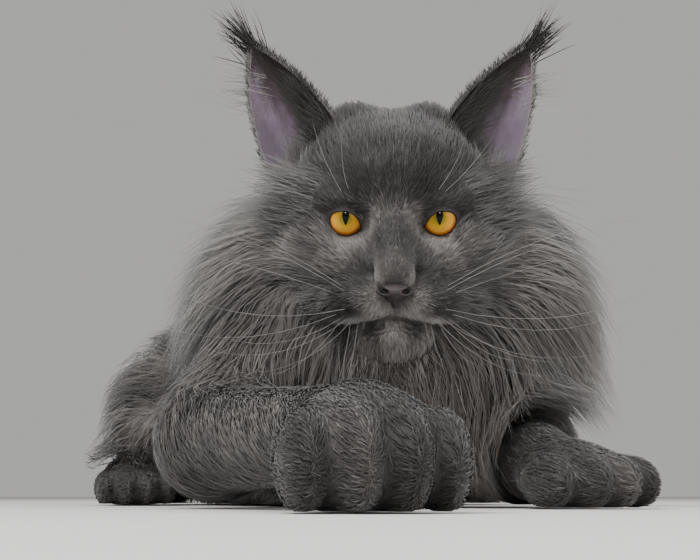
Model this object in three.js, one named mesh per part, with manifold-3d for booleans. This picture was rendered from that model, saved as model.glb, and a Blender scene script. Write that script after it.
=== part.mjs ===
// A life-size Maine Coon cat, lying on its chest with one foreleg stretched forward.
// Millimetres, +Z up. The cat faces -Y, its left side is +X, and it rests on z = 0.
// The origin is the middle of the flat under the chest.
import * as THREE from "three";
import { mergeVertices } from "three/addons/utils/BufferGeometryUtils.js";
import Module from "manifold-3d";

const wasm = await Module();
wasm.setup();

// Driving dimensions
const gap = 0.3; // left between neighbouring pieces
const bodyYaw = 20; // degrees that the trunk turns away to the cat's right, behind the head
const headPitch = 22; // degrees that the face is tipped down
const eyeHeight = 161;
const eyeForward = 70; // from the origin to the plane of the eyes
const eyeSpacing = 54;
const eyeRadius = 12;
const earThickness = 2.6;
const trunkLength = 395;
const shoulderWidth = 136;
const hipWidth = 164;
const tailRadius = 27;
const forearmRadius = 27;
const coatDepth = { ruff: 62, trunk: 34, thigh: 40, tail: 48, arm: 22 };

const degrees = Math.PI / 180;
const vec = (x, y, z) => new THREE.Vector3(x, y, z);
const mixed = (a, b, t) => a.clone().lerp(b, t);

// A small repeatable random source, so that every build draws the same coat.
function randomSource(seed) {
  let state = seed;
  return (low, high) => {
    state = (state * 1664525 + 1013904223) % 4294967296;
    return low + ((high - low) * state) / 4294967296;
  };
}

// Frames: the head is tipped about the eyes, the trunk is turned about the origin.
const eyes = vec(0, -eyeForward, eyeHeight);
const headForward = vec(0, -Math.cos(headPitch * degrees), -Math.sin(headPitch * degrees));
const headUp = vec(0, -Math.sin(headPitch * degrees), Math.cos(headPitch * degrees));
const onHead = (side, forward, up) =>
  eyes.clone().addScaledVector(headForward, forward).addScaledVector(headUp, up).setX(side);

const trunkBack = vec(-Math.sin(bodyYaw * degrees), Math.cos(bodyYaw * degrees), 0);
const trunkSide = vec(Math.cos(bodyYaw * degrees), Math.sin(bodyYaw * degrees), 0);
const onTrunk = (back, side, up) =>
  vec(0, 0, up).addScaledVector(trunkBack, back).addScaledVector(trunkSide, side);

// Each form is a distance function of a point: negative inside, in millimetres.
const levelFrame = [vec(1, 0, 0), vec(0, 1, 0), vec(0, 0, 1)];
const headFrame = [vec(1, 0, 0), headForward, headUp];
const trunkFrame = [trunkSide, trunkBack, vec(0, 0, 1)];
const turnedFrame = (yaw) => [
  vec(Math.cos(yaw * degrees), Math.sin(yaw * degrees), 0),
  vec(-Math.sin(yaw * degrees), Math.cos(yaw * degrees), 0),
  vec(0, 0, 1),
];

// An ellipsoid about a centre, with its radii along the three axes of a frame.
function mass(center, radii, frame = levelFrame) {
  const offset = vec(0, 0, 0);
  return (point) => {
    offset.subVectors(point, center);
    let near = 0;
    let steep = 0;
    for (let i = 0; i < 3; i++) {
      const share = offset.dot(frame[i]) / radii[i];
      near += share * share;
      steep += (share * share) / (radii[i] * radii[i]);
    }
    near = Math.sqrt(near);
    return near < 1e-6 ? -Math.min(...radii) : (near * (near - 1)) / Math.sqrt(steep);
  };
}

// A round limb from one point to another, with a radius at each end.
function limb(start, end, startRadius, endRadius) {
  const run = end.clone().sub(start);
  const offset = vec(0, 0, 0);
  return (point) => {
    offset.subVectors(point, start);
    const share = Math.min(1, Math.max(0, offset.dot(run) / run.lengthSq()));
    return offset.addScaledVector(run, -share).length() - (startRadius + (endRadius - startRadius) * share);
  };
}

// Forms joined with a rounded inside corner about as wide as the given softness.
function blend(softness, ...forms) {
  return (point) => {
    let near = forms[0](point);
    for (let i = 1; i < forms.length; i++) {
      const next = forms[i](point);
      const overlap = Math.max(softness - Math.abs(near - next), 0) / softness;
      near = Math.min(near, next) - (overlap * overlap * softness) / 4;
    }
    return near;
  };
}

function slope(form, point, step = 0.5) {
  const at = (x, y, z) => form(vec(point.x + x, point.y + y, point.z + z));
  return vec(
    at(step, 0, 0) - at(-step, 0, 0),
    at(0, step, 0) - at(0, -step, 0),
    at(0, 0, step) - at(0, 0, -step),
  ).divideScalar(2 * step);
}

// Turns vertices and triangles into a solid that can be cut and joined.
function solidOf(positions, triangles) {
  return new wasm.Manifold(
    new wasm.Mesh({
      numProp: 3,
      vertProperties: new Float32Array(positions),
      triVerts: new Uint32Array(triangles),
    }),
  );
}

function solidFrom(geometry) {
  geometry.deleteAttribute("normal");
  geometry.deleteAttribute("uv");
  const merged = mergeVertices(geometry, 1e-3);
  return solidOf(merged.attributes.position.array, merged.index.array);
}

// Places along an axis, about a cell apart, and a grid of them between two corners.
const spaced = (from, to, cell) => {
  const steps = Math.ceil((to - from) / cell);
  return Array.from({ length: steps + 1 }, (_, i) => from + ((to - from) * i) / steps);
};
const evenGrid = ([low, high], cell) =>
  [0, 1, 2].map((i) => spaced(low.getComponent(i), high.getComponent(i), cell));

// The surface of a form as four-sided cells of a grid, each split into two triangles.
function surfaceOf(form, grid) {
  const count = grid.map((places) => places.length);
  const index = (i, j, k) => (i * count[1] + j) * count[2] + k;
  const corner = (i, j, k) => vec(grid[0][i], grid[1][j], grid[2][k]);
  const cell = Math.max(...grid.map((places) => places.at(-1) - places.at(-2)));
  const values = new Float64Array(count[0] * count[1] * count[2]);
  for (let i = 0; i < count[0]; i++)
    for (let j = 0; j < count[1]; j++)
      for (let k = 0; k < count[2]; k++) {
        const edge = [i, j, k].some((n, axis) => n === 0 || n === count[axis] - 1);
        const value = form(corner(i, j, k)) || 1e-9;
        values[index(i, j, k)] = edge ? Math.max(value, cell / 4) : value;
      }

  const positions = [];
  const vertexOf = new Map();
  const cellVertex = (i, j, k) => {
    const key = index(i, j, k);
    if (vertexOf.has(key)) return vertexOf.get(key);
    const sum = vec(0, 0, 0);
    let crossings = 0;
    for (let a = 0; a < 8; a++)
      for (const bit of [1, 2, 4]) {
        if (a & bit) continue;
        const b = a | bit;
        const first = [i + (a & 1), j + ((a >> 1) & 1), k + ((a >> 2) & 1)];
        const second = [i + (b & 1), j + ((b >> 1) & 1), k + ((b >> 2) & 1)];
        const low0 = values[index(...first)];
        const high0 = values[index(...second)];
        if (low0 < 0 === high0 < 0) continue;
        sum.add(mixed(corner(...first), corner(...second), low0 / (low0 - high0)));
        crossings++;
      }
    sum.divideScalar(crossings);
    for (let pass = 0; pass < 2; pass++) {
      const normal = slope(form, sum);
      const pull = Math.max(-cell / 3, Math.min(cell / 3, form(sum)));
      sum.addScaledVector(normal, -pull / Math.max(normal.lengthSq(), 0.2));
    }
    positions.push(sum.x, sum.y, sum.z);
    vertexOf.set(key, positions.length / 3 - 1);
    return positions.length / 3 - 1;
  };

  const triangles = [];
  const steps = [[1, 0, 0], [0, 1, 0], [0, 0, 1]];
  for (let i = 0; i < count[0] - 1; i++)
    for (let j = 0; j < count[1] - 1; j++)
      for (let k = 0; k < count[2] - 1; k++)
        for (let axis = 0; axis < 3; axis++) {
          if ([i, j, k].some((n, other) => other !== axis && n === 0)) continue;
          const here = values[index(i, j, k)];
          const [di, dj, dk] = steps[axis];
          const there = values[index(i + di, j + dj, k + dk)];
          if (here < 0 === there < 0) continue;
          const u = steps[(axis + 1) % 3];
          const v = steps[(axis + 2) % 3];
          const around = [[1, 1], [0, 1], [0, 0], [1, 0]].map(([a, b]) =>
            cellVertex(i - a * u[0] - b * v[0], j - a * u[1] - b * v[1], k - a * u[2] - b * v[2]),
          );
          const [a, b, c, d] = here < 0 ? around : around.reverse();
          const apart = (m, n) =>
            Math.hypot(...[0, 1, 2].map((t) => positions[3 * m + t] - positions[3 * n + t]));
          if (apart(a, c) < apart(b, d)) triangles.push(a, b, c, a, c, d);
          else triangles.push(a, b, d, b, c, d);
        }
  const made = solidOf(positions, triangles);
  return made.volume() < 0 ? solidOf(positions, flipped(triangles)) : made;
}

function flipped(triangles) {
  const turned = [...triangles];
  for (let i = 0; i < turned.length; i += 3) {
    [turned[i + 1], turned[i + 2]] = [turned[i + 2], turned[i + 1]];
  }
  return turned;
}

// A three.js geometry of the vertices and triangles of a solid.
function geometryOf(mesh) {
  const geometry = new THREE.BufferGeometry();
  const positions = new Float32Array(mesh.numVert * 3);
  for (let i = 0; i < mesh.numVert; i++)
    positions.set(mesh.vertProperties.subarray(i * mesh.numProp, i * mesh.numProp + 3), i * 3);
  geometry.setAttribute("position", new THREE.BufferAttribute(positions, 3));
  geometry.setIndex(new THREE.BufferAttribute(new Uint32Array(mesh.triVerts), 1));
  geometry.computeVertexNormals();
  return geometry;
}

// The same solid with every face moved out by a distance, or in by a negative one.
function grown(solid, distance) {
  const mesh = solid.getMesh();
  const { position, normal } = geometryOf(mesh).attributes;
  return solidOf(position.array.map((value, i) => value + normal.array[i] * distance), mesh.triVerts);
}

// The largest closed surface of a solid, its vertices on a fine grid so that no sliver is left by a cut.
// Where it touches itself along an edge, the vertices there are drawn in a little, each on its own side.
function largestPiece(solid) {
  const grid = 128; // steps in a millimetre
  const drawnIn = 0.03;
  const mostPasses = 12;
  const pieces = solid.simplify(0.04).decompose();
  const mesh = pieces.reduce((most, piece) => (piece.volume() > most.volume() ? piece : most)).getMesh();
  const geometry = geometryOf(mesh);
  const normals = geometry.attributes.normal;
  const points = Array.from({ length: mesh.numVert }, (_, i) =>
    vec(0, 0, 0).fromBufferAttribute(geometry.attributes.position, i),
  );
  for (let pass = 0; pass < mostPasses; pass++) {
    const place = new Map();
    const positions = [];
    const renumbered = points.map((point) => {
      const at = point.toArray().map((value) => Math.round(value * grid) / grid);
      const key = at.join();
      if (!place.has(key)) place.set(key, positions.push(...at) / 3 - 1);
      return place.get(key);
    });
    const triangles = [];
    const seen = new Set();
    const touching = new Set();
    for (let i = 0; i < mesh.triVerts.length; i += 3) {
      const corners = [0, 1, 2].map((corner) => renumbered[mesh.triVerts[i + corner]]);
      if (new Set(corners).size < 3) continue;
      triangles.push(...corners);
      corners.forEach((from, corner) => {
        const to = corners[(corner + 1) % 3];
        if (seen.has(`${from} ${to}`)) touching.add(from).add(to);
        seen.add(`${from} ${to}`);
      });
    }
    if (touching.size === 0) return solidOf(positions, triangles);
    renumbered.forEach((place, i) => {
      const outward = vec(0, 0, 0).fromBufferAttribute(normals, i);
      if (touching.has(place)) points[i].addScaledVector(outward, -drawnIn);
    });
  }
  throw new Error("a surface still touches itself");
}

// Head: skull, cheeks, square muzzle and chin, under their short coat.
const sides = [-1, 1];
const eyeCentre = (side) => onHead((side * eyeSpacing) / 2, -9, 0);
const headForm = blend(
  5,
  blend(
    12,
    mass(onHead(0, -38, 22), [50, 50, 38], headFrame),
    mass(onHead(0, -12, 24), [35, 24, 25], headFrame),
    ...sides.map((side) => mass(onHead(side * 32, -12, -18), [27, 33, 31], headFrame)),
    mass(onHead(0, -16, -24), [34, 30, 34], headFrame),
    limb(onHead(0, -2, 8), onHead(0, 36, -19), 18, 12),
    limb(onHead(0, -30, -50), onHead(0, 12, -52), 30, 20),
  ),
  ...sides.map((side) => mass(onHead(side * 25, 1, 15), [17, 11, 8], headFrame)),
  ...sides.map((side) => mass(eyeCentre(side), [14.6, 14.6, 14.6], headFrame)),
  ...sides.map((side) => mass(onHead(side * 17, 27, -37), [22, 20, 14], headFrame)),
  ...sides.map((side) => mass(onHead(side * 30, 18, -43), [15, 17, 14], headFrame)),
  mass(onHead(0, 40, -23), [12.5, 9, 8.5], headFrame),
  mass(onHead(0, 25, -61), [23, 18, 13], headFrame),
);
const noseForm = blend(
  3,
  mass(onHead(0, 46.5, -28.6), [10.8, 5.5, 4.3], headFrame),
  limb(onHead(0, 46.5, -31), onHead(0, 44.8, -37), 4.2, 2.2),
);

// Neck and chest under the ruff, and the trunk behind them.
const ruffForm = blend(
  20,
  mass(vec(0, -8, 120), [98, 58, 84]),
  mass(vec(0, -34, 78), [68, 46, 60]),
  mass(onTrunk(30, 0, 120), [80, 60, 70], trunkFrame),
  mass(vec(0, 2, 44), [48, 42, 54]), // breastbone, cut flat by the floor
);
const trunkForm = blend(
  25,
  mass(onTrunk(70, 0, 86), [84, 100, 91], trunkFrame),
  mass(onTrunk(190, 0, 76), [86, 125, 80], trunkFrame),
  mass(onTrunk(trunkLength - 88, 0, 86), [78, 86, 88], trunkFrame),
);

// Forelegs: the right one is stretched forward, the left one is folded with its paw turned out.
const foreleg = {
  right: {
    shoulder: onTrunk(-6, -shoulderWidth / 2, 92),
    elbow: vec(-100, -62, 38),
    wrist: vec(-34, -206, 35),
    toes: vec(-9, -296, 16),
    pawSize: [86, 58],
  },
  left: {
    shoulder: onTrunk(8, shoulderWidth / 2, 92),
    elbow: vec(88, 62, 36),
    wrist: vec(84, -38, 26),
    toes: vec(114, -112, 14),
    pawSize: [76, 38],
  },
};
const upperArmForm = ({ shoulder, elbow }) =>
  blend(18, limb(shoulder, elbow, 42, 35), mass(shoulder, [36, 46, 56], trunkFrame));
const forearmForm = ({ elbow, wrist }) => limb(elbow, wrist, forearmRadius + 6, forearmRadius - 3);

// A paw: the back of the foot, the wrist behind it, and four toes with clefts between them.
function pawForm(wrist, toes, width, height) {
  const frame = turnedFrame(Math.atan2(-(toes.x - wrist.x), toes.y - wrist.y) / degrees);
  const [across, ahead] = frame;
  const length = toes.distanceTo(wrist);
  const place = (side, back, up) =>
    toes.clone().setZ(up).addScaledVector(across, side).addScaledVector(ahead, -back);
  const pads = [-1.5, -0.5, 0.5, 1.5].map((slot) => {
    const inner = Math.abs(slot) < 1;
    return mass(
      place(slot * width * 0.235, inner ? 13 : 22, height * 0.36),
      [width * 0.145, 23, height * 0.42],
      frame,
    );
  });
  return blend(
    4,
    blend(
      14,
      limb(wrist, place(0, length * 0.55, height * 0.5), forearmRadius - 4, height * 0.5),
      mass(place(0, 36, height * 0.42), [width * 0.46, 34, height * 0.52], frame),
    ),
    ...pads,
  );
}

// Hind legs, folded beside the trunk with the hocks on the floor.
const hindleg = (side) => ({
  hip: onTrunk(315, side * 62, 78),
  knee: onTrunk(236, side * (hipWidth / 2 + 14), 52),
  hock: onTrunk(338, side * (hipWidth / 2 + 20), 20),
  toes: onTrunk(190, side * (hipWidth / 2 + 34), 14),
});
const thighForm = (side) => {
  const { hip, knee } = hindleg(side);
  return blend(20, limb(hip, knee, 44, 33), mass(onTrunk(290, side * 74, 62), [38, 78, 62], trunkFrame));
};
const hindFootForm = (side) => {
  const { hock, toes } = hindleg(side);
  const start = mixed(hock, toes, 0.55);
  return blend(10, limb(hock, start, 17, 19), pawForm(start, toes, 62, 34));
};

// Tail: out from the rump, round, and forward along the left side.
const tailPath = new THREE.CatmullRomCurve3([
  onTrunk(368, 0, 66),
  onTrunk(422, 20, 48),
  onTrunk(436, 78, 36),
  onTrunk(392, 132, 33),
  onTrunk(315, 162, 32),
  onTrunk(240, 166, 31),
]);
const tailSlices = 24;
const tailForm = blend(
  8,
  ...Array.from({ length: tailSlices }, (_, i) => {
    const radius = (share) => tailRadius * (0.85 + 0.4 * Math.sin(Math.PI * Math.min(1, share * 1.05)));
    return limb(
      tailPath.getPointAt(i / tailSlices),
      tailPath.getPointAt((i + 1) / tailSlices),
      radius(i / tailSlices),
      radius((i + 1) / tailSlices),
    );
  }),
);

// Ear cups: a leaf between an inner edge and an outer edge, bowed back to a rear ridge.
const earCurves = (side) => {
  const curve = (...points) =>
    new THREE.CatmullRomCurve3(points.map(([x, forward, up]) => onHead(side * x, forward, up)));
  return {
    inner: curve([24, -40, 36], [31, -44, 51], [45, -50, 69], [64, -56, 86], [81, -59, 97]),
    outer: curve([54, -30, 10], [69, -38, 24], [80, -47, 46], [85, -54, 72], [84, -59, 96]),
    ridge: curve([62, -88, 24], [64, -88, 44], [68, -82, 64], [76, -72, 84], [84, -61, 100]),
  };
};

function earCup(side, growth = 0) {
  const { inner, outer, ridge } = earCurves(side);
  const stations = 6;
  const across = 6;
  const positions = [];
  const rows = [];
  for (let j = 0; j <= stations; j++) {
    const share = j / stations;
    const bow = new THREE.QuadraticBezierCurve3(
      inner.getPoint(share),
      ridge.getPoint(share),
      outer.getPoint(share),
    );
    const hollow = headForward.clone().multiplyScalar(earThickness / 2 + growth);
    const row = { front: [], back: [] };
    for (let i = 0; i <= across; i++) {
      const at = bow.getPoint(i / across);
      const rim = i === 0 || i === across ? 0.45 : 1;
      for (const [face, sign] of [["front", 1], ["back", -1]]) {
        const point = at.clone().addScaledVector(hollow, sign * rim * (share < 1 ? 1 : 0.7));
        row[face].push(positions.length / 3);
        positions.push(point.x, point.y, point.z);
      }
    }
    rows.push([...row.front, ...row.back.reverse()]);
  }
  const triangles = [];
  const ring = rows[0].length;
  for (let j = 0; j < stations; j++)
    for (let i = 0; i < ring; i++) {
      const next = (i + 1) % ring;
      triangles.push(rows[j][i], rows[j][next], rows[j + 1][next]);
      triangles.push(rows[j][i], rows[j + 1][next], rows[j + 1][i]);
    }
  for (const [row, turn] of [[rows[0], true], [rows[stations], false]])
    for (let i = 0; i < across; i++) {
      const quad = [row[i], row[i + 1], row[ring - 2 - i], row[ring - 1 - i]];
      const [a, b, c, d] = turn ? quad.reverse() : quad;
      triangles.push(a, b, c, a, c, d);
    }
  const made = solidOf(positions, triangles);
  return made.volume() < 0 ? solidOf(positions, flipped(triangles)) : made;
}

// A flat tool shape on the face, pushed along the line of sight from one depth to another.
function faceTool(shape, from, to) {
  const settings = { depth: to - from, bevelEnabled: false, curveSegments: 5 };
  const geometry = new THREE.ExtrudeGeometry(shape, settings);
  geometry.applyMatrix4(
    new THREE.Matrix4().makeBasis(vec(1, 0, 0), headUp, headForward).setPosition(onHead(0, from, 0)),
  );
  return solidFrom(geometry);
}

// The opening between the lids: a low brow line above, a round line below.
function lidOpening(side) {
  const x = (across) => side * (eyeSpacing / 2 + across);
  const shape = new THREE.Shape();
  shape.moveTo(x(-10.5), -5.6);
  shape.quadraticCurveTo(x(-6), -8.2, x(1), -8);
  shape.quadraticCurveTo(x(8.5), -7.6, x(10.4), 4.6);
  shape.quadraticCurveTo(x(5), 7, x(-2), 6);
  shape.quadraticCurveTo(x(-7), 3.4, x(-10.5), -5.6);
  return faceTool(shape, 0, 30);
}

// The line of the mouth: a groove down from the nose, then out and down along each lip.
function mouthGroove(side) {
  const outline = [[0, -39], [0, -48], [10, -53.5], [22, -56], [34, -57]];
  const lip = new THREE.CatmullRomCurve3(outline.map(([x, up]) => onHead(side * x, 0, up)));
  const stations = 9;
  const positions = [];
  for (let i = 0; i <= stations; i++) {
    const line = lip.getPoint(i / stations);
    const across = lip.getTangent(i / stations).cross(headForward).normalize();
    const face = line.clone().addScaledVector(headForward, 70);
    for (let step = 0; step < 60 && headForm(face) > 0; step++)
      face.addScaledVector(headForward, -Math.min(Math.max(headForm(face), 0.1), 1));
    for (const [forward, half] of [[3, 1.6], [3, -1.6], [-4, 0]]) {
      const corner = face.clone().addScaledVector(headForward, forward).addScaledVector(across, half);
      positions.push(...corner.toArray());
    }
  }
  const triangles = [0, 1, 2, 3 * stations, 3 * stations + 2, 3 * stations + 1];
  for (let i = 0; i < stations; i++)
    for (let edge = 0; edge < 3; edge++) {
      const [a, b] = [3 * i + edge, 3 * i + ((edge + 1) % 3)];
      triangles.push(a, b + 3, b, a, a + 3, b + 3);
    }
  const made = solidOf(positions, triangles);
  return made.volume() < 0 ? solidOf(positions, flipped(triangles)) : made;
}

const nostrilCentre = (side) => onHead(side * 6.3, 51.5, -29.4);
const nostrilForm = (side) => mass(nostrilCentre(side), [3.1, 5, 2.1], headFrame);

// Cores: every piece as its own surface, then cut clear of the ones it grows from.
const box = (points, margin) => {
  const bounds = new THREE.Box3().setFromPoints(points).expandByScalar(margin);
  return [bounds.min, bounds.max];
};
const onlyAhead = (point, direction) => ({ normal: direction.toArray(), offset: direction.dot(point) });
const trimmed = (solid, planes, slack) =>
  planes.reduce((cut, plane) => cut.trimByPlane(plane.normal, plane.offset - slack), solid);
const aboveFloor = { normal: [0, 0, 1], offset: 0 };

const cores = new Map();
function addCore(name, form, grid, coarseness, planes = []) {
  const surface = surfaceOf(form, grid).simplify(coarseness);
  const clearance = trimmed(grown(surface, 2 * gap).add(grown(surface, gap / 2)), planes, gap);
  let solid = trimmed(trimmed(surface, planes, -gap / 2), [aboveFloor], 0);
  for (const other of cores.values()) solid = solid.subtract(other.clearance);
  cores.set(name, { solid: largestPiece(solid), clearance, form });
}

const neckPlane = onTrunk(28, 0, 0);
const frontOfNeckPlane = onlyAhead(neckPlane, trunkBack.clone().negate());
const behindNeckPlane = onlyAhead(neckPlane, trunkBack);
const napeNormal = headForward.clone().multiplyScalar(0.8).addScaledVector(headUp, 0.6);
const nape = onlyAhead(onHead(0, -62, -2), napeNormal);
const headGrid = [
  spaced(-75, 75, 6.4),
  [...spaced(-135, -64, 6.2), ...spaced(-52, 40, 12)],
  [...spaced(55, 196, 6.2), ...spaced(205, 250, 9)],
];
addCore("head", headForm, headGrid, 1, [nape]);
addCore("nose", noseForm, evenGrid(box([onHead(-14, 40, -44), onHead(14, 54, -20)], 4), 3.3), 0.2);
const ruffGrid = evenGrid([vec(-126, -105, -12), vec(126, 110, 222)], 22);
addCore("ruff", ruffForm, ruffGrid, 1.2, [frontOfNeckPlane]);
const trunkGrid = evenGrid([vec(-270, -60, -22), vec(140, 420, 200)], 28);
addCore("trunk", trunkForm, trunkGrid, 1.5, [behindNeckPlane]);
for (const [hand, side] of [["right", -1], ["left", 1]]) {
  const leg = foreleg[hand];
  const ahead = leg.toes.clone().sub(leg.wrist).setZ(0).normalize();
  const wristFront = onlyAhead(leg.wrist, ahead);
  const wristBack = onlyAhead(leg.wrist, ahead.clone().negate());
  const paw = pawForm(leg.wrist, leg.toes, ...leg.pawSize);
  addCore(`upper_arm_${hand}`, upperArmForm(leg), evenGrid(box([leg.shoulder, leg.elbow], 74), 24), 1.2);
  const forearmGrid = evenGrid(box([leg.elbow, leg.wrist], 48), 19);
  addCore(`forearm_${hand}`, forearmForm(leg), forearmGrid, 1, [wristBack]);
  addCore(`forepaw_${hand}`, paw, evenGrid(box([leg.wrist, leg.toes], 62), 9.2), 0.8, [wristFront]);
  const hind = hindleg(side);
  addCore(`thigh_${hand}`, thighForm(side), evenGrid(box([hind.hip, hind.knee], 85), 26), 1.2);
  addCore(`hind_foot_${hand}`, hindFootForm(side), evenGrid(box([hind.hock, hind.toes], 48), 14), 1);
}
const tailCuts = [0, 0.36, 0.7, 1];
["tail_base", "tail_middle", "tail_tip"].forEach((name, i) => {
  const plane = (share, forward) =>
    onlyAhead(tailPath.getPointAt(share), tailPath.getTangentAt(share).multiplyScalar(forward));
  const planes = [];
  if (i > 0) planes.push(plane(tailCuts[i], 1));
  if (i < 2) planes.push(plane(tailCuts[i + 1], -1));
  const shares = [0, 0.25, 0.5, 0.75, 1].map((t) => THREE.MathUtils.lerp(tailCuts[i], tailCuts[i + 1], t));
  addCore(name, tailForm, evenGrid(box(shares.map((t) => tailPath.getPointAt(t)), 52), 23), 1.2, planes);
});

// Locks of long hair: flat tapered strands, three-sided, from a root inside their piece to a free tip.
const draw = randomSource(7);
const flesh = (point) => Math.min(...[...cores.values()].map(({ form }) => form(point)));

// Moves a point onto the surface where a form's distance is zero.
function settled(form, start) {
  const point = start.clone();
  for (let pass = 0; pass < 6; pass++) {
    const normal = slope(form, point);
    point.addScaledVector(normal, -form(point) / Math.max(normal.lengthSq(), 0.3));
  }
  return point;
}

// The line of a lock, combed over the body from its root and lifting towards the tip.
function combed(coreForm, start, flow, { length, lift, sway }) {
  const shares = [0, 0.24, 0.62, 1];
  const heights = [-9, 6, 6 + (lift - 6) * 0.4, lift];
  const lowest = 4;
  let below = settled(coreForm, start);
  return shares.map((share, i) => {
    const outward = slope(flesh, below).normalize();
    const along = flow(below).projectOnPlane(outward).normalize();
    const across = along.clone().cross(outward);
    const at = below.clone().addScaledVector(outward, heights[i]);
    at.addScaledVector(across, sway * Math.sin(Math.PI * share));
    at.z = Math.max(at.z, lowest);
    if (i < shares.length - 1) below.addScaledVector(along, length * (shares[i + 1] - share));
    below = settled(flesh, below);
    below.z = Math.max(below.z, 0);
    return { at, outward, across };
  });
}

function lockSolid(line, width, thickness, growth = 0) {
  const widths = [0.8, 1, 0.8];
  const positions = [];
  line.slice(0, -1).forEach(({ at, outward, across }, i) => {
    const half = (width * widths[i]) / 2 + growth;
    const rise = thickness * (1 - 0.15 * i) + growth;
    for (const [side, up] of [[half, -0.3 * rise], [-half, -0.3 * rise], [0, 0.7 * rise]]) {
      const corner = at.clone().addScaledVector(across, side).addScaledVector(outward, up);
      positions.push(corner.x, corner.y, Math.max(corner.z, 1.2 - growth));
    }
  });
  const tip = line.at(-1).at;
  positions.push(tip.x, tip.y, Math.max(tip.z, 1.5));
  const triangles = [0, 2, 1];
  const rings = line.length - 1;
  for (let ring = 0; ring < rings; ring++)
    for (let side = 0; side < 3; side++) {
      const a = ring * 3 + side;
      const b = ring * 3 + ((side + 1) % 3);
      if (ring < rings - 1) triangles.push(a, b, b + 3, a, b + 3, a + 3);
      else triangles.push(a, b, rings * 3);
    }
  const made = solidOf(positions, triangles);
  return made.volume() < 0 ? solidOf(positions, flipped(triangles)) : made;
}

const near = (a, b) => {
  const [first, second] = [a.boundingBox(), b.boundingBox()];
  const meets = (axis) => first.min[axis] < second.max[axis] && second.min[axis] < first.max[axis];
  return [0, 1, 2].every(meets);
};

// Roots the locks of one piece in its core, each cut clear of every other piece.
const fatLocks = [];
function addLocks(name, starts, flow, sizes) {
  const core = cores.get(name);
  const own = [];
  for (const start of starts) {
    const root = settled(core.form, start);
    const crowded = [...cores].some(([, { form }]) => form !== core.form && form(root) < sizes.clear);
    if (crowded) continue;
    const line = combed(core.form, start, flow, {
      length: sizes.length * draw(0.85, 1.15),
      lift: sizes.lift * draw(0.7, 1.25),
      sway: sizes.width * draw(-0.25, 0.25),
    });
    const width = sizes.width * draw(0.85, 1.15);
    let lock = lockSolid(line, width, sizes.thickness);
    for (const [other, { clearance }] of cores)
      if (other !== name && near(lock, clearance)) lock = lock.subtract(clearance);
    for (const fat of fatLocks)
      if (fat.name !== name && near(lock, fat.solid)) lock = lock.subtract(fat.solid);
    const pieces = lock.decompose();
    if (pieces.length === 0) continue;
    own.push(pieces.reduce((most, piece) => (piece.volume() > most.volume() ? piece : most)));
    fatLocks.push({ name, solid: lockSolid(line, width, sizes.thickness, 2 * gap) });
  }
  core.solid = wasm.Manifold.union([core.solid, ...own]);
}

// Cheeks: short locks that sweep back and down towards the ruff.
for (const side of sides) {
  const flow = () => vec(side * 0.75, 0.5, -0.6);
  const starts = [[47, -12], [46, -30], [36, -44]].map(([x, up]) => onHead(side * x, -22, up));
  addLocks("head", starts, flow, { length: 34, width: 22, thickness: 5, lift: 11, clear: -4 });
}

// Ruff: rings of locks round the face that stream out and back, and rows down the chest.
const faceMiddle = onHead(0, 0, -30);
function ringStarts(count, from, to, radius, back) {
  return Array.from({ length: count }, (_, i) => {
    const angle = (from + ((to - from) * (i + draw(0.35, 0.65))) / count) * degrees;
    return vec(Math.sin(angle) * radius, faceMiddle.y + back, faceMiddle.z - 12 + Math.cos(angle) * radius);
  });
}
const ruffFlow = (point) => {
  const radial = vec(point.x, 0, point.z - faceMiddle.z).normalize();
  return radial.multiplyScalar(1.2).add(vec(0, point.z < 95 ? 0.1 : 0.5, -0.4));
};
const chestFlow = (point) => vec(point.x * 0.006, -0.05, -1);
const ruffLocks = { length: coatDepth.ruff * 1.45, width: 38, thickness: 9, lift: 36, clear: 1 };
addLocks("ruff", ringStarts(12, 66, 294, 74, 24), ruffFlow, ruffLocks);
addLocks("ruff", ringStarts(14, 24, 336, 84, 58), ruffFlow, ruffLocks);
addLocks("ruff", ringStarts(6, -70, 70, 84, 84), ruffFlow, { ...ruffLocks, length: 66, lift: 18 });
for (const height of [84, 50]) {
  const starts = [-1, 0, 1].map((slot) => vec((slot + draw(-0.15, 0.15)) * 42, -90, height));
  addLocks("ruff", starts, chestFlow, { ...ruffLocks, length: 54, lift: 14 });
}

// Trunk: rows round the barrel, combed back and down.
const trunkFlow = (point) => trunkBack.clone().add(vec(0, 0, -0.012 * Math.abs(point.dot(trunkSide))));
for (let row = 0; row < 5; row++) {
  const starts = [-102, -68, -34, 0, 34, 68, 102].map((angle) => {
    const turn = (angle + draw(-6, 6) + (row % 2) * 12) * degrees;
    return onTrunk(80 + row * 60 + draw(-6, 6), Math.sin(turn) * 90, 84 + Math.cos(turn) * 80);
  });
  const sizes = { length: coatDepth.trunk * 2.4, width: 44, thickness: 9, lift: 20, clear: 3 };
  addLocks("trunk", starts, trunkFlow, sizes);
}

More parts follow.
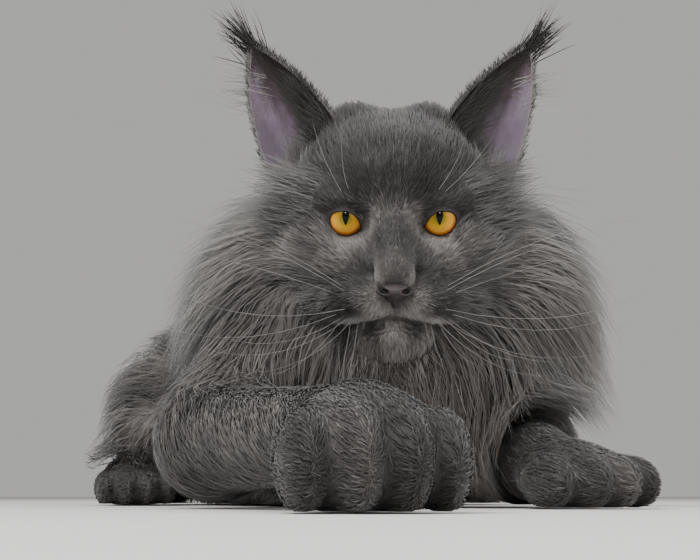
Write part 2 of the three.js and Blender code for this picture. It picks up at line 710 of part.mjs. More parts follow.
// Thighs: britches that fall back and down.
for (const [hand, side] of [["right", -1], ["left", 1]]) {
  const flow = () => trunkBack.clone().multiplyScalar(0.8).add(vec(0, 0, -0.7));
  const starts = [[-48, 34], [-10, 52], [28, 36], [-30, 8], [10, 18], [44, 4]].map(([back, up]) =>
    onTrunk(290 + back + draw(-4, 4), side * 112, 62 + up),
  );
  const britches = { length: coatDepth.thigh * 1.6, width: 34, thickness: 8, lift: 15, clear: 2 };
  addLocks(`thigh_${hand}`, starts, flow, britches);

  // Upper arms and the feathering behind the forearms.
  const leg = foreleg[hand];
  const armFlow = () => leg.elbow.clone().sub(leg.shoulder).normalize().add(vec(side * 0.1, 0.5, -0.2));
  const armStarts = [[0.05, 0], [0.3, 14], [0.6, -10], [0.85, 10]].map(([share, back]) =>
    mixed(leg.shoulder, leg.elbow, share).add(vec(side * 40, back - 8, 10)),
  );
  const armLocks = { length: coatDepth.arm * 3, width: 32, thickness: 7, lift: 15, clear: 1 };
  addLocks(`upper_arm_${hand}`, armStarts, armFlow, armLocks);
}

// Forearms: feathering along the back edge.
for (const [hand, side] of [["right", -1], ["left", 1]]) {
  const { elbow, wrist } = foreleg[hand];
  const flow = () => elbow.clone().sub(wrist).normalize().add(vec(side * 0.6, 0, -0.3));
  const starts = [0.25, 0.6].map((share) => mixed(elbow, wrist, share).add(vec(side * 26, 8, 4)));
  const feathering = { length: coatDepth.arm * 1.8, width: 26, thickness: 6, lift: 10, clear: 1 };
  addLocks(`forearm_${hand}`, starts, flow, feathering);
}

// Tail: a plume whose locks stream out towards its tip.
const tailFlow = (point) => {
  const shares = Array.from({ length: 25 }, (_, i) => i / 24);
  const farness = (share) => tailPath.getPointAt(share).distanceTo(point);
  const closest = shares.reduce((best, share) => (farness(share) < farness(best) ? share : best));
  const away = point.clone().sub(tailPath.getPointAt(closest)).normalize();
  return tailPath.getTangentAt(closest).add(away.multiplyScalar(0.4)).add(vec(0, 0, -0.25));
};
["tail_base", "tail_middle", "tail_tip"].forEach((name, i) => {
  const starts = [0.2, 0.65].flatMap((share, row) => {
    const along = THREE.MathUtils.lerp(tailCuts[i], tailCuts[i + 1], share + (i === 2 ? 0.05 : 0));
    const tangent = tailPath.getTangentAt(along);
    const across = vec(0, 0, 1).cross(tangent).normalize();
    return [-65, 0, 65].map((angle) => {
      const turn = (angle + row * 25 + draw(-8, 8)) * degrees;
      const out = across.clone().multiplyScalar(Math.sin(turn)).add(vec(0, 0, Math.cos(turn)));
      return tailPath.getPointAt(along).addScaledVector(out, tailRadius);
    });
  });
  const length = coatDepth.tail * 1.7;
  addLocks(name, starts, tailFlow, { length, width: 32, thickness: 8, lift: 22, clear: 1 });
});

// Ear tips: a lynx tuft, and a wisp at the outer edge.
function earTufts(side) {
  const strands = [
    { from: [82, -60.5, 92], to: [97, -62, 119], width: 8 },
    { from: [81, -60.5, 90], to: [103, -64, 110], width: 7 },
    { from: [83, -51, 58], to: [96, -46, 62], width: 7 },
  ];
  return strands.map(({ from, to, width }) => {
    const [start, end] = [from, to].map(([x, forward, up]) => onHead(side * x, forward, up));
    const across = end.clone().sub(start).cross(headForward).normalize();
    const line = [0, 0.3, 0.65, 1].map((share) => {
      const at = mixed(start, end, share).addScaledVector(headUp, 2.5 * Math.sin(Math.PI * share));
      return { at, across, outward: headForward };
    });
    return lockSolid(line, width, 3.5);
  });
}

// Materials and the finished group.
const finishes = {
  coat: new THREE.MeshStandardMaterial({ color: 0x6b6a6b, roughness: 0.85, metalness: 0 }),
  darkCoat: new THREE.MeshStandardMaterial({ color: 0x4a4a4c, roughness: 0.85, metalness: 0 }),
  ear: new THREE.MeshStandardMaterial({ color: 0x5a5058, roughness: 0.7, metalness: 0 }),
  nose: new THREE.MeshStandardMaterial({ color: 0x2f2a2c, roughness: 0.45, metalness: 0 }),
  eye: new THREE.MeshStandardMaterial({ color: 0xd9952e, roughness: 0.1, metalness: 0 }),
};
const cat = new THREE.Group();
function addNode(name, solid, material) {
  const node = new THREE.Mesh(geometryOf(solid.getMesh()), material);
  node.name = name;
  cat.add(node);
}

const headSolid = (() => {
  let solid = cores.get("head").solid;
  for (const side of sides) {
    const socket = new THREE.SphereGeometry(eyeRadius + gap, 12, 8).translate(...eyeCentre(side).toArray());
    solid = solid.subtract(solidFrom(socket)).subtract(lidOpening(side)).subtract(mouthGroove(side));
  }
  return largestPiece(solid.subtract(cores.get("nose").clearance));
})();
addNode("head", headSolid, finishes.coat);
let ruffSolid = cores.get("ruff").solid;
for (const [hand, side] of [["right", -1], ["left", 1]]) {
  const ball = new THREE.SphereGeometry(eyeRadius, 12, 8).translate(...eyeCentre(side).toArray());
  addNode(`eye_${hand}`, solidFrom(ball), finishes.eye);
  ruffSolid = ruffSolid.subtract(earCup(side, 2 * gap));
  const ear = wasm.Manifold.union([earCup(side).subtract(cores.get("head").clearance), ...earTufts(side)]);
  addNode(`ear_${hand}`, largestPiece(ear), finishes.ear);
}
addNode("ruff", largestPiece(ruffSolid), finishes.coat);

const noseSolid = sides.reduce((solid, side) => {
  const nostril = surfaceOf(nostrilForm(side), evenGrid(box([nostrilCentre(side)], 7), 2.3));
  return solid.subtract(nostril);
}, cores.get("nose").solid);
addNode("nose", largestPiece(noseSolid), finishes.nose);

for (const [name, { solid }] of cores)
  if (!["head", "ruff", "nose"].includes(name)) addNode(name, largestPiece(solid), finishes.coat);
export default cat;
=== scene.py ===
import math

import bpy
import numpy as np
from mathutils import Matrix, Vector
from mathutils.kdtree import KDTree


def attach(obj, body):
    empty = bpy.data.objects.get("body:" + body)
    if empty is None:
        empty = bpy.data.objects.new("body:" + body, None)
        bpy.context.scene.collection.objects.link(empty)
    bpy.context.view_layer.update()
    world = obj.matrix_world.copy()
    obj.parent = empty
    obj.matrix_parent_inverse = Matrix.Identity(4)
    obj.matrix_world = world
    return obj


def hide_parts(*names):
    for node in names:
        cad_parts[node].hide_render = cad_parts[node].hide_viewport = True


# A long-haired blue cat, lying on its chest with one foreleg stretched towards the viewer.
# The shapes are worked out in millimetres in the frame's own axes, and become metres in addPiece.
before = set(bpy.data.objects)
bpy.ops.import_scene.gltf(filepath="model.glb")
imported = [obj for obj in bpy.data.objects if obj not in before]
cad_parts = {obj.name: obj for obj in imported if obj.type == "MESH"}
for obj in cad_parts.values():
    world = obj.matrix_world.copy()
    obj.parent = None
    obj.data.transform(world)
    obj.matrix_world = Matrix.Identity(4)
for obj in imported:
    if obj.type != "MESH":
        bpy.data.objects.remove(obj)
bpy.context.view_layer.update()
dice = np.random.default_rng(23)
bodies = "root"

cameraSet = {"place": (-0.0245, -0.820, 0.007), "tipUp": 9.16, "lens": 68.86}


def placeCamera():
    lens = bpy.data.cameras.new("camera")
    lens.lens = cameraSet["lens"]
    lens.sensor_width = 36
    lens.clip_start = 0.01
    holder = bpy.data.objects.new("camera", lens)
    holder.location = cameraSet["place"]
    holder.rotation_euler = (math.radians(90 + cameraSet["tipUp"]), 0, 0)
    bpy.context.collection.objects.link(holder)
    bpy.context.scene.camera = holder


placeCamera()


# Frames of the body: the head is tipped about the eyes, the trunk is turned about the origin.
pose = {"headPitch": 22, "bodyYaw": 20, "eyes": (0, -70, 161), "trunkLength": 395}


def point(x, y, z):
    return np.array([x, y, z], float)


def unit(rows):
    return rows / np.maximum(np.linalg.norm(rows, axis=-1, keepdims=True), 1e-9)


pitch = math.radians(pose["headPitch"])
yaw = math.radians(pose["bodyYaw"])
headForward = point(0, -math.cos(pitch), -math.sin(pitch))
headUp = point(0, -math.sin(pitch), math.cos(pitch))
trunkBack = point(-math.sin(yaw), math.cos(yaw), 0)
trunkSide = point(math.cos(yaw), math.sin(yaw), 0)
upward = point(0, 0, 1)
headAxes = np.array([point(1, 0, 0), headForward, headUp])
trunkAxes = np.array([trunkSide, trunkBack, upward])
levelAxes = np.eye(3)
hands = {-1: "right", 1: "left"}
sides = tuple(hands)


def onHead(side, forward, up):
    place = point(*pose["eyes"]) + forward * headForward + up * headUp
    place[0] = side
    return place


# A place, or rows of places, as side, forward and up from the middle of the eyes.
def inHead(places):
    return (places - point(*pose["eyes"])) @ headAxes.T


def onTrunk(back, side, up):
    return back * trunkBack + side * trunkSide + up * upward


def turnedAxes(run):
    ahead = unit(point(run[0], run[1], 0))
    return np.array([point(-ahead[1], ahead[0], 0), -ahead, upward])


# From 0 at the first value to 1 at the second, and level beyond them.
def rising(values, first, second):
    return np.clip((values - first) / (second - first), 0, 1)


# Each form is a distance function of many points at once: negative inside.
def mass(center, radii, axes=levelAxes):
    radii = np.array(radii, float)

    def form(places):
        shares = (places - center) @ axes.T / radii
        near = np.linalg.norm(shares, axis=-1)
        steep = np.linalg.norm(shares / radii, axis=-1)
        return near * (near - 1) / np.maximum(steep, 1e-6)
    return form


def limb(start, end, startRadius, endRadius):
    run = end - start

    def form(places):
        share = np.clip((places - start) @ run / (run @ run), 0, 1)
        off = np.linalg.norm(places - start - share[..., None] * run, axis=-1)
        return off - (startRadius + (endRadius - startRadius) * share)
    return form


def joined(softness, first, second):
    overlap = np.maximum(softness - np.abs(first - second), 0) / softness
    return np.minimum(first, second) - overlap * overlap * softness / 4


def blend(softness, *forms):
    def form(places):
        near = forms[0](places)
        for other in forms[1:]:
            near = joined(softness, near, other(places))
        return near
    return form


def chain(softness, line, radii):
    return blend(softness, *[limb(*ends) for ends in zip(line[:-1], line[1:], radii[:-1], radii[1:])])


def carved(form, tool, softness):
    return lambda places: -joined(softness, -form(places), tool(places))


def inset(form, depth):
    return lambda places: form(places) + depth


def gradient(form, places, step=0.6):
    here = form(places)
    steep = np.stack([form(places + step * levelAxes[i]) - here for i in range(3)], -1) / step
    return here, steep


# Moves places onto the surface of a form, or to a depth inside it when that is negative.
def settled(form, places, passes=3, depth=0.0):
    for _ in range(passes):
        here, steep = gradient(form, places)
        size = np.maximum((steep * steep).sum(-1), 0.3)
        places = places - steep * ((here - depth) / size)[:, None]
    return places


# A smooth line through points, cut into even lengths.
def smoothLine(points, count):
    points = [point(*p) for p in points]
    points = [2 * points[0] - points[1]] + points + [2 * points[-1] - points[-2]]
    fine = []
    for i in range(1, len(points) - 2):
        p0, p1, p2, p3 = points[i - 1:i + 3]
        gaps = [max(np.linalg.norm(b - a), 1e-6) ** 0.5 for a, b in ((p0, p1), (p1, p2), (p2, p3))]
        start = ((p1 - p0) / gaps[0] - (p2 - p0) / (gaps[0] + gaps[1]) + (p2 - p1) / gaps[1]) * gaps[1]
        end = ((p2 - p1) / gaps[1] - (p3 - p1) / (gaps[1] + gaps[2]) + (p3 - p2) / gaps[2]) * gaps[1]
        t = np.linspace(0, 1, 40, endpoint=False)[:, None]
        cubic = 2 * p1 - 2 * p2 + start + end
        square = -3 * p1 + 3 * p2 - 2 * start - end
        fine.append(p1 + start * t + square * t ** 2 + cubic * t ** 3)
    fine = np.concatenate(fine + [points[-2][None]])
    travelled = np.concatenate([[0], np.cumsum(np.linalg.norm(np.diff(fine, axis=0), axis=1))])
    wanted = np.linspace(0, travelled[-1], count)
    return np.stack([np.interp(wanted, travelled, fine[:, i]) for i in range(3)], 1)


# Radii of the eyeball, of the lid over it and of the hollow round it, and the opening of the lids as side and
# up from the middle of the eye.
eyeShape = {
    "apart": 27,
    "radius": 12.0,
    "lid": 13.2,
    "bowl": (13.5, 8, 8.5),
    "opening": [(-9.9, -2.7), (-5.1, -5.4), (-0.3, -6.7), (4.3, -5.5), (7.7, -2.1), (8.9, 3.6),
                (6.7, 6.6), (2.7, 7.7), (-1.8, 7.4), (-5.8, 4.5)],
}


def eyeAt(side):
    return onHead(side * eyeShape["apart"], -4.5, 1.5)


# Head: the place and radii of each mass as side, forward, up, and the ends and radii of each limb.
headShape = {
    "skull": ((0, -38, 22), (50, 50, 38)),
    "forehead": ((0, -12, 24), (35, 24, 25)),
    "cheeks": ((32, -12, -18), (27, 33, 31)),
    "throat": ((0, -16, -24), (34, 30, 34)),
    "cheekbones": ((24, 14, -26), (18, 19, 18)),
    "bridge": ((0, -2, 8), (0, 36, -19), (18, 12)),
    "jaw": ((0, -30, -50), (0, 12, -52), (30, 20)),
    "brows": ((22, -3, 14), (24, 10.5, 10)),
    "ear roots": ((23, -54, 48), (15, 15, 15)),
    "pads": ((17, 27, -37), (22, 20, 14)),
    "muzzle corners": ((28, 18, -42), (13.5, 16, 13.5)),
    "snout": ((0, 40, -23), (12.5, 9, 8.5)),
    "chin": ((0, 25.5, -59), (23, 18, 15.5)),
    "leather": ((0, 45.8, -29), (10.6, 5.5, 3.9)),
    "septum": ((0, 46.2, -31), (0, 44.5, -37.5), (4.0, 2.0)),
    "near nostrils": ((6.2, 51.5, -28.8), (2.6, 5.5, 1.5)),
    "far nostrils": ((9.4, 48.5, -27.4), (2.8, 6.0, 1.1)),
    "groove": ((0, 53.0, -30), (0, 48.8, -42), (0.9, 0.9)),
    "lip": [(0, 44, -38), (0, 42, -48), (10, 38, -53.5), (22, 32, -56), (34, 20, -57)],
    "skin depth": 2.5,
}


# The masses and limbs of the head with these names: one in the middle, or one on each side.
def headParts(*names, only=sides):
    found = []
    for name in names:
        (side, forward, up), *rest = headShape[name]
        for hand in only if side else (0,):
            start = onHead(hand * side, forward, up)
            if len(rest) == 1:
                found.append(mass(start, rest[0], headAxes))
            else:
                found.append(limb(start, onHead(*rest[0]), *rest[1]))
    return found


headForm = blend(
    5,
    blend(12, *headParts("skull", "forehead", "cheeks", "throat", "cheekbones", "bridge", "jaw", "brows",
                         "ear roots")),
    blend(9, *headParts("pads", "muzzle corners")),
    *headParts("snout", "chin"),
)
noseForm = blend(3, *headParts("leather", "septum"))


def lipForm(side):
    line = smoothLine([onHead(side * x, forward, up) for x, forward, up in headShape["lip"]], 9)
    line = settled(inset(headForm, headShape["skin depth"]), line)
    return chain(1, line, [1.7] * len(line))


def headFlesh():
    skin = inset(headForm, headShape["skin depth"])
    for side in sides:
        bowl = mass(eyeAt(side) + 15 * headForward, eyeShape["bowl"], headAxes)
        skin = carved(skin, bowl, 8)
        skin = blend(2, skin, mass(eyeAt(side), [eyeShape["lid"]] * 3, headAxes))
        skin = carved(skin, lipForm(side), 1.5)
    return skin


# Neck, chest and trunk
ruffForm = blend(
    20,
    mass(point(0, -8, 120), [98, 58, 84]),
    mass(point(0, -34, 78), [68, 46, 60]),
    mass(onTrunk(30, 0, 120), [80, 60, 70], trunkAxes),
    mass(point(0, 2, 44), [48, 42, 54]),
)
trunkForm = blend(
    25,
    mass(onTrunk(70, 0, 86), [84, 100, 91], trunkAxes),
    mass(onTrunk(190, 0, 76), [86, 125, 80], trunkAxes),
    mass(onTrunk(pose["trunkLength"] - 88, 0, 86), [78, 86, 88], trunkAxes),
)

# Forelegs: the right one is stretched forward, the left one is folded with its paw turned out.
forelegs = {
    -1: {"shoulder": onTrunk(-6, -68, 92), "elbow": point(-100, -62, 38),
         "wrist": point(-34, -206, 35), "toes": point(-9, -296, 16), "paw": (84, 57)},
    1: {"shoulder": onTrunk(8, 68, 92), "elbow": point(88, 62, 36),
        "wrist": point(84, -38, 26), "toes": point(114, -112, 14), "paw": (76, 38)},
}
hindlegs = {
    side: {"hip": onTrunk(315, side * 62, 78), "knee": onTrunk(236, side * 96, 52),
           "hock": onTrunk(338, side * 102, 20), "toes": onTrunk(190, side * 116, 14)}
    for side in sides
}


# A paw: a broad back, and four toes in a row of which the outer two lie further back.
def pawForm(wrist, toes, width, height):
    axes = turnedAxes(toes - wrist)
    length = np.linalg.norm(toes - wrist)

    def place(side, back, up):
        return point(toes[0], toes[1], up) + axes[0] * side + axes[1] * back

    pads = []
    for slot in (-1.5, -0.5, 0.5, 1.5):
        back = 13 if abs(slot) < 1 else 22
        spot = place(slot * width * 0.235, back, height * 0.36)
        pads.append(mass(spot, [width * 0.15, 23, height * 0.42], axes))
    return blend(
        9,
        blend(
            14,
            limb(wrist, place(0, length * 0.55, height * 0.5), 23, height * 0.5),
            mass(place(0, 36, height * 0.42), [width * 0.46, 34, height * 0.52], axes),
        ),
        *pads,
    )


def forelegForms(leg):
    shoulder = mass(leg["shoulder"], [36, 46, 56], trunkAxes)
    arm = blend(18, limb(leg["shoulder"], leg["elbow"], 42, 35), shoulder)
    return arm, limb(leg["elbow"], leg["wrist"], 33, 24), pawForm(leg["wrist"], leg["toes"], *leg["paw"])


def hindlegForms(side, leg):
    haunch = mass(onTrunk(290, side * 74, 62), [38, 78, 62], trunkAxes)
    thigh = blend(20, limb(leg["hip"], leg["knee"], 44, 33), haunch)
    start = leg["hock"] + 0.55 * (leg["toes"] - leg["hock"])
    return thigh, blend(10, limb(leg["hock"], start, 17, 19), pawForm(start, leg["toes"], 62, 34))


tailLine = smoothLine([onTrunk(368, 0, 66), onTrunk(422, 20, 48), onTrunk(436, 78, 36), onTrunk(392, 132, 33),
                       onTrunk(315, 162, 32), onTrunk(240, 166, 31)], 19)
tailShares = np.linspace(0, 1, len(tailLine))
tailRadii = 27 * (0.85 + 0.4 * np.sin(np.pi * np.minimum(1, tailShares * 1.05)))
tailForm = chain(8, tailLine, tailRadii)

# How the coat lies: the direction of the hair at each place, region by region.
faceMiddle = onHead(0, 0, -30)


def ruffFlow(places):
    x, y, z = places.T[..., None]
    radial = unit(places * point(1, 0, 1) - faceMiddle * point(0, 0, 1)) * 1.2
    low = rising(z, 130, 85)
    front = rising(y, -40, -70)
    streaming = radial + point(0, 0.45, -0.42) - low * point(0, 0.35, 0.35)
    falling = x * point(0.006, 0, 0) + point(0, -0.12, -1)
    share = low * (0.7 + 0.3 * front)
    return streaming * (1 - share) + falling * share + trunkBack * rising(y, 10, 60) * 1.5


def trunkFlow(places):
    fall = -0.012 * np.abs(places @ trunkSide)
    return trunkBack + fall[:, None] * upward


def tailFlow(places):
    offsets = places[:, None, :] - tailLine[None]
    nearest = np.argmin((offsets ** 2).sum(-1), 1)
    tangents = unit(np.gradient(tailLine, axis=0))
    outward = unit(offsets[np.arange(len(places)), nearest])
    return tangents[nearest] + 0.45 * outward - 0.25 * upward


def headFlow(places):
    side, forward, up = inHead(places).T
    chin = rising(up, -50, -62) * rising(forward, 0, 20)
    lip = rising(np.abs(up + 46), 9, 0) * rising(forward, 15, 25)
    flow = unit(places - onHead(0, 40, -30)) + chin[:, None] * (headForward * 0.25 - headUp * 0.9)
    return flow - (lip * 1.1)[:, None] * headUp - 0.3 * headForward


def steady(direction):
    return lambda places: np.broadcast_to(unit(direction), places.shape)


# Each region: its form, how deep the flesh lies inside it, and its coat.
# Length, width and lift are millimetres. Tone runs from black, 0, to silver, 1.
shortCoat = {"length": 9, "width": 0.62, "lift": 1.5, "droop": 0.0, "hug": 0.9, "press": 1.0, "clump": 0.1,
             "curl": 0.0, "jitter": 0.1, "tone": 0.2, "warm": 0.3}
longCoat = {"length": 58, "width": 0.95, "lift": 20, "droop": 0.22, "hug": 0.35, "press": 0.8, "clump": 0.3,
            "curl": 2.0, "jitter": 0.12, "tone": 0.28, "warm": 0.4}
regions = []


def addRegion(name, form, depth, flow, coat, softness=14, **changes):
    regions.append({"name": name, "form": form, "depth": depth, "flow": flow,
                    "softness": softness, **coat, **changes})


addRegion("ruff", ruffForm, 10, ruffFlow, longCoat, length=88, lift=36, hug=0.12, press=0.35, width=0.62,
          droop=0.18, clump=0.22, tone=0.42, warm=0.3)
addRegion("trunk", trunkForm, 10, trunkFlow, longCoat)
addRegion("tail", tailForm, 13, tailFlow, longCoat, length=62, lift=30, width=1.1, tone=0.36)
for side in sides:
    leg = forelegs[side]
    arm, forearm, paw = forelegForms(leg)
    armRun = unit(leg["elbow"] - leg["shoulder"]) + point(side * 0.05, 0.25, -1)
    addRegion("arm", arm, 8, steady(armRun), longCoat, length=40, lift=8, hug=0.6, press=1.0)
    forearmRun = unit(leg["wrist"] - leg["elbow"]) - 0.45 * upward
    addRegion("forearm", forearm, 5, steady(forearmRun), longCoat, length=17, lift=2.6, width=0.7, hug=0.9,
              press=1.0, clump=0.1, curl=0.5, jitter=0.08)
    addRegion("paw", paw, 3, steady(leg["toes"] - leg["wrist"]), shortCoat, softness=6, tone=0.13)
    leg = hindlegs[side]
    thigh, foot = hindlegForms(side, leg)
    addRegion("thigh", thigh, 9, steady(0.8 * trunkBack - 0.7 * upward), longCoat, length=60, lift=18)
    addRegion("foot", foot, 3.5, steady(leg["toes"] - leg["hock"]), shortCoat, softness=6)
addRegion("head", headFlesh(), 0, headFlow, shortCoat, softness=9)
floorGap = 0.8


def bodyForm(places):
    near = regions[0]["form"](places) + regions[0]["depth"]
    for region in regions[1:]:
        near = joined(region["softness"], near, region["form"](places) + region["depth"])
    return np.maximum(near, floorGap - places[:, 2])


print("forms ready")


# The surface of a form, as points and quads, on a grid of places along x, y and z.
def surfaceNet(form, places):
    grid = np.stack(np.meshgrid(*places, indexing="ij"), -1)
    values = form(grid.reshape(-1, 3)).reshape(grid.shape[:3])
    inside = values < 0
    corners = [(i, j, k) for i in (0, 1) for j in (0, 1) for k in (0, 1)]
    spans = [n - 1 for n in values.shape]
    full = sum(inside[i:i + spans[0], j:j + spans[1], k:k + spans[2]].astype(np.int8) for i, j, k in corners)
    active = (full > 0) & (full < 8)
    cells = np.argwhere(active)
    number = np.full(active.shape, -1)
    number[active] = np.arange(len(cells))
    total = np.zeros((len(cells), 3))
    crossings = np.zeros(len(cells))
    for corner in corners:
        for axis in range(3):
            if corner[axis]:
                continue
            a = tuple((cells + corner).T)
            b = tuple((cells + corner + (np.arange(3) == axis)).T)
            crossed = inside[a] != inside[b]
            share = np.where(crossed, values[a] / np.where(crossed, values[a] - values[b], 1), 0)
            total += np.where(crossed[:, None], grid[a] + (grid[b] - grid[a]) * share[:, None], 0)
            crossings += crossed
    quads = []
    for axis in range(3):
        u, v = (axis + 1) % 3, (axis + 2) % 3
        low = np.take(inside, range(spans[axis]), axis)
        high = np.take(inside, range(1, spans[axis] + 1), axis)
        edges = np.argwhere(low != high)
        middle = (edges[:, [u, v]] > 0) & (edges[:, [u, v]] < (spans[u], spans[v]))
        edges = edges[middle.all(1)]
        ring = []
        for du, dv in ((1, 1), (0, 1), (0, 0), (1, 0)):
            cell = edges.copy()
            cell[:, u] -= du
            cell[:, v] -= dv
            ring.append(number[tuple(cell.T)])
        ring = np.stack(ring, 1)
        outward = low[tuple(edges.T)]
        ring[~outward] = ring[~outward][:, ::-1]
        quads.append(ring)
    return total / crossings[:, None], np.concatenate(quads)


# The quads between the neighbours of a grid of point numbers.
def gridQuads(number):
    return np.stack([number[:-1, :-1], number[:-1, 1:], number[1:, 1:], number[1:, :-1]], -1).reshape(-1, 4)


def addPiece(name, points, faces, material, replaced=()):
    faces = [np.asarray(group) for group in faces if len(group)]
    corners = np.concatenate([group.ravel() for group in faces]).astype(np.int32)
    sizes = np.concatenate([np.full(len(group), group.shape[1]) for group in faces])
    starts = np.concatenate([[0], np.cumsum(sizes)[:-1]]).astype(np.int32)
    mesh = bpy.data.meshes.new(name)
    mesh.vertices.add(len(points))
    mesh.vertices.foreach_set("co", (np.asarray(points) * 0.001).astype(np.float32).ravel())
    mesh.loops.add(len(corners))
    mesh.loops.foreach_set("vertex_index", corners)
    mesh.polygons.add(len(sizes))
    mesh.polygons.foreach_set("loop_start", starts)
    mesh.update(calc_edges=True)
    mesh.polygons.foreach_set("use_smooth", np.ones(len(sizes), bool))
    mesh.materials.append(material)
    piece = bpy.data.objects.new(name, mesh)
    bpy.context.collection.objects.link(piece)
    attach(piece, bodies)
    if replaced:
        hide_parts(*replaced)
    return piece


def addValues(piece, **values):
    for name, rows in values.items():
        rows = np.asarray(rows, np.float32)
        kind, key = ("FLOAT_VECTOR", "vector") if rows.ndim == 2 else ("FLOAT", "value")
        piece.data.attributes.new(name, kind, "POINT").data.foreach_set(key, rows.ravel())


# Materials: a node stands for its first output, and kinds of node are named without their first part.
def outputOf(value):
    return value.outputs[0] if isinstance(value, bpy.types.Node) else value


def nodesOf(tree):
    def add(kind, inputs=None, **settings):
        node = tree.nodes.new("ShaderNode" + kind)
        for key, value in settings.items():
            setattr(node, key, value)
        for key, value in (inputs or {}).items():
            value = outputOf(value)
            if isinstance(value, bpy.types.NodeSocket):
                tree.links.new(value, node.inputs[key])
            else:
                node.inputs[key].default_value = value
        return node

    def calc(operation, *values):
        return add("Math", dict(enumerate(values)), operation=operation)
    return add, calc


def newMaterial(name, **constants):
    material = bpy.data.materials.new(name)
    material.use_nodes = True
    shader = material.node_tree.nodes["Principled BSDF"]
    for key, value in constants.items():
        shader.inputs[key.replace("_", " ")].default_value = value
    return material, *nodesOf(material.node_tree)


def wear(material, **given):
    tree = material.node_tree
    for key, value in given.items():
        tree.links.new(outputOf(value), tree.nodes["Principled BSDF"].inputs[key.replace("_", " ")])
    return material


def rampOf(add, factor, stops):
    node = add("ValToRGB", {"Fac": factor})
    while len(node.color_ramp.elements) < len(stops):
        node.color_ramp.elements.new(0.5)
    for element, (place, colour) in zip(node.color_ramp.elements, stops):
        element.position = place
        element.color = (*colour, 1)
    return node


# The coat's colour: from its tone and warmth, with fine hairs drawn along each tuft, and painted shade
# towards each root.
coatColours = [(0.0, (0.011, 0.010, 0.010)), (0.25, (0.055, 0.052, 0.051)), (0.5, (0.165, 0.158, 0.153)),
               (0.75, (0.34, 0.33, 0.32)), (1.0, (0.60, 0.60, 0.60))]


coatSockets = {
    "INPUT": {"Tone": "Float", "Warmth": "Float", "Along": "Float", "Strand": "Vector"},
    "OUTPUT": {"Colour": "Color", "Height": "Float", "Roughness": "Float"},
}


def coatGroup():
    tree = bpy.data.node_groups.new("coat colour", "ShaderNodeTree")
    for way, sockets in coatSockets.items():
        for name, kind in sockets.items():
            tree.interface.new_socket(name=name, in_out=way, socket_type="NodeSocket" + kind)
    add, calc = nodesOf(tree)
    given = tree.nodes.new("NodeGroupInput").outputs
    hairs = add("TexNoise", {"Vector": given["Strand"], "Scale": 1.0, "Detail": 2.0, "Roughness": 0.6})
    tone = calc("MULTIPLY_ADD", calc("SUBTRACT", hairs, 0.5), 0.34, given["Tone"])
    warmed = add("Mix", {0: given["Warmth"], 6: rampOf(add, tone, coatColours), 7: (1.1, 0.97, 0.86, 1)},
                 data_type="RGBA", blend_type="MULTIPLY")
    # Painted shade: the root of a tuft is painted a little darker than its tip, standing in for the shade
    # among the hairs.
    shade = add("MapRange", {0: given["Along"], 3: 0.9, 4: 1.06})
    found = {"Colour": add("VectorMath", {0: warmed.outputs[2], "Scale": shade}, operation="SCALE"),
             "Height": hairs, "Roughness": add("MapRange", {0: hairs, 3: 0.42, 4: 0.68})}
    results = tree.nodes.new("NodeGroupOutput").inputs
    for name, node in found.items():
        tree.links.new(outputOf(node), results[name])
    return tree


coatTree = coatGroup()
coatReads = {"Tone": ("tone", "Fac"), "Warmth": ("warm", "Fac"), "Along": ("along", "Fac"),
             "Strand": ("strand", "Vector")}


def coatMaterial(name, bumpDepth):
    material, add, calc = newMaterial(name, Specular_IOR_Level=0.22, Sheen_Weight=0.25, Sheen_Roughness=0.45)
    given = {socket: add("Attribute", attribute_name=read).outputs[kind]
             for socket, (read, kind) in coatReads.items()}
    coat = add("Group", given, node_tree=coatTree).outputs
    bump = add("Bump", {"Height": coat["Height"], "Distance": bumpDepth, "Strength": 0.6})
    return wear(material, Base_Color=coat["Colour"], Roughness=coat["Roughness"], Normal=bump)


hairFinish = coatMaterial("coat", 0.0004)
skinFinish = coatMaterial("short coat on skin", 0.0006)

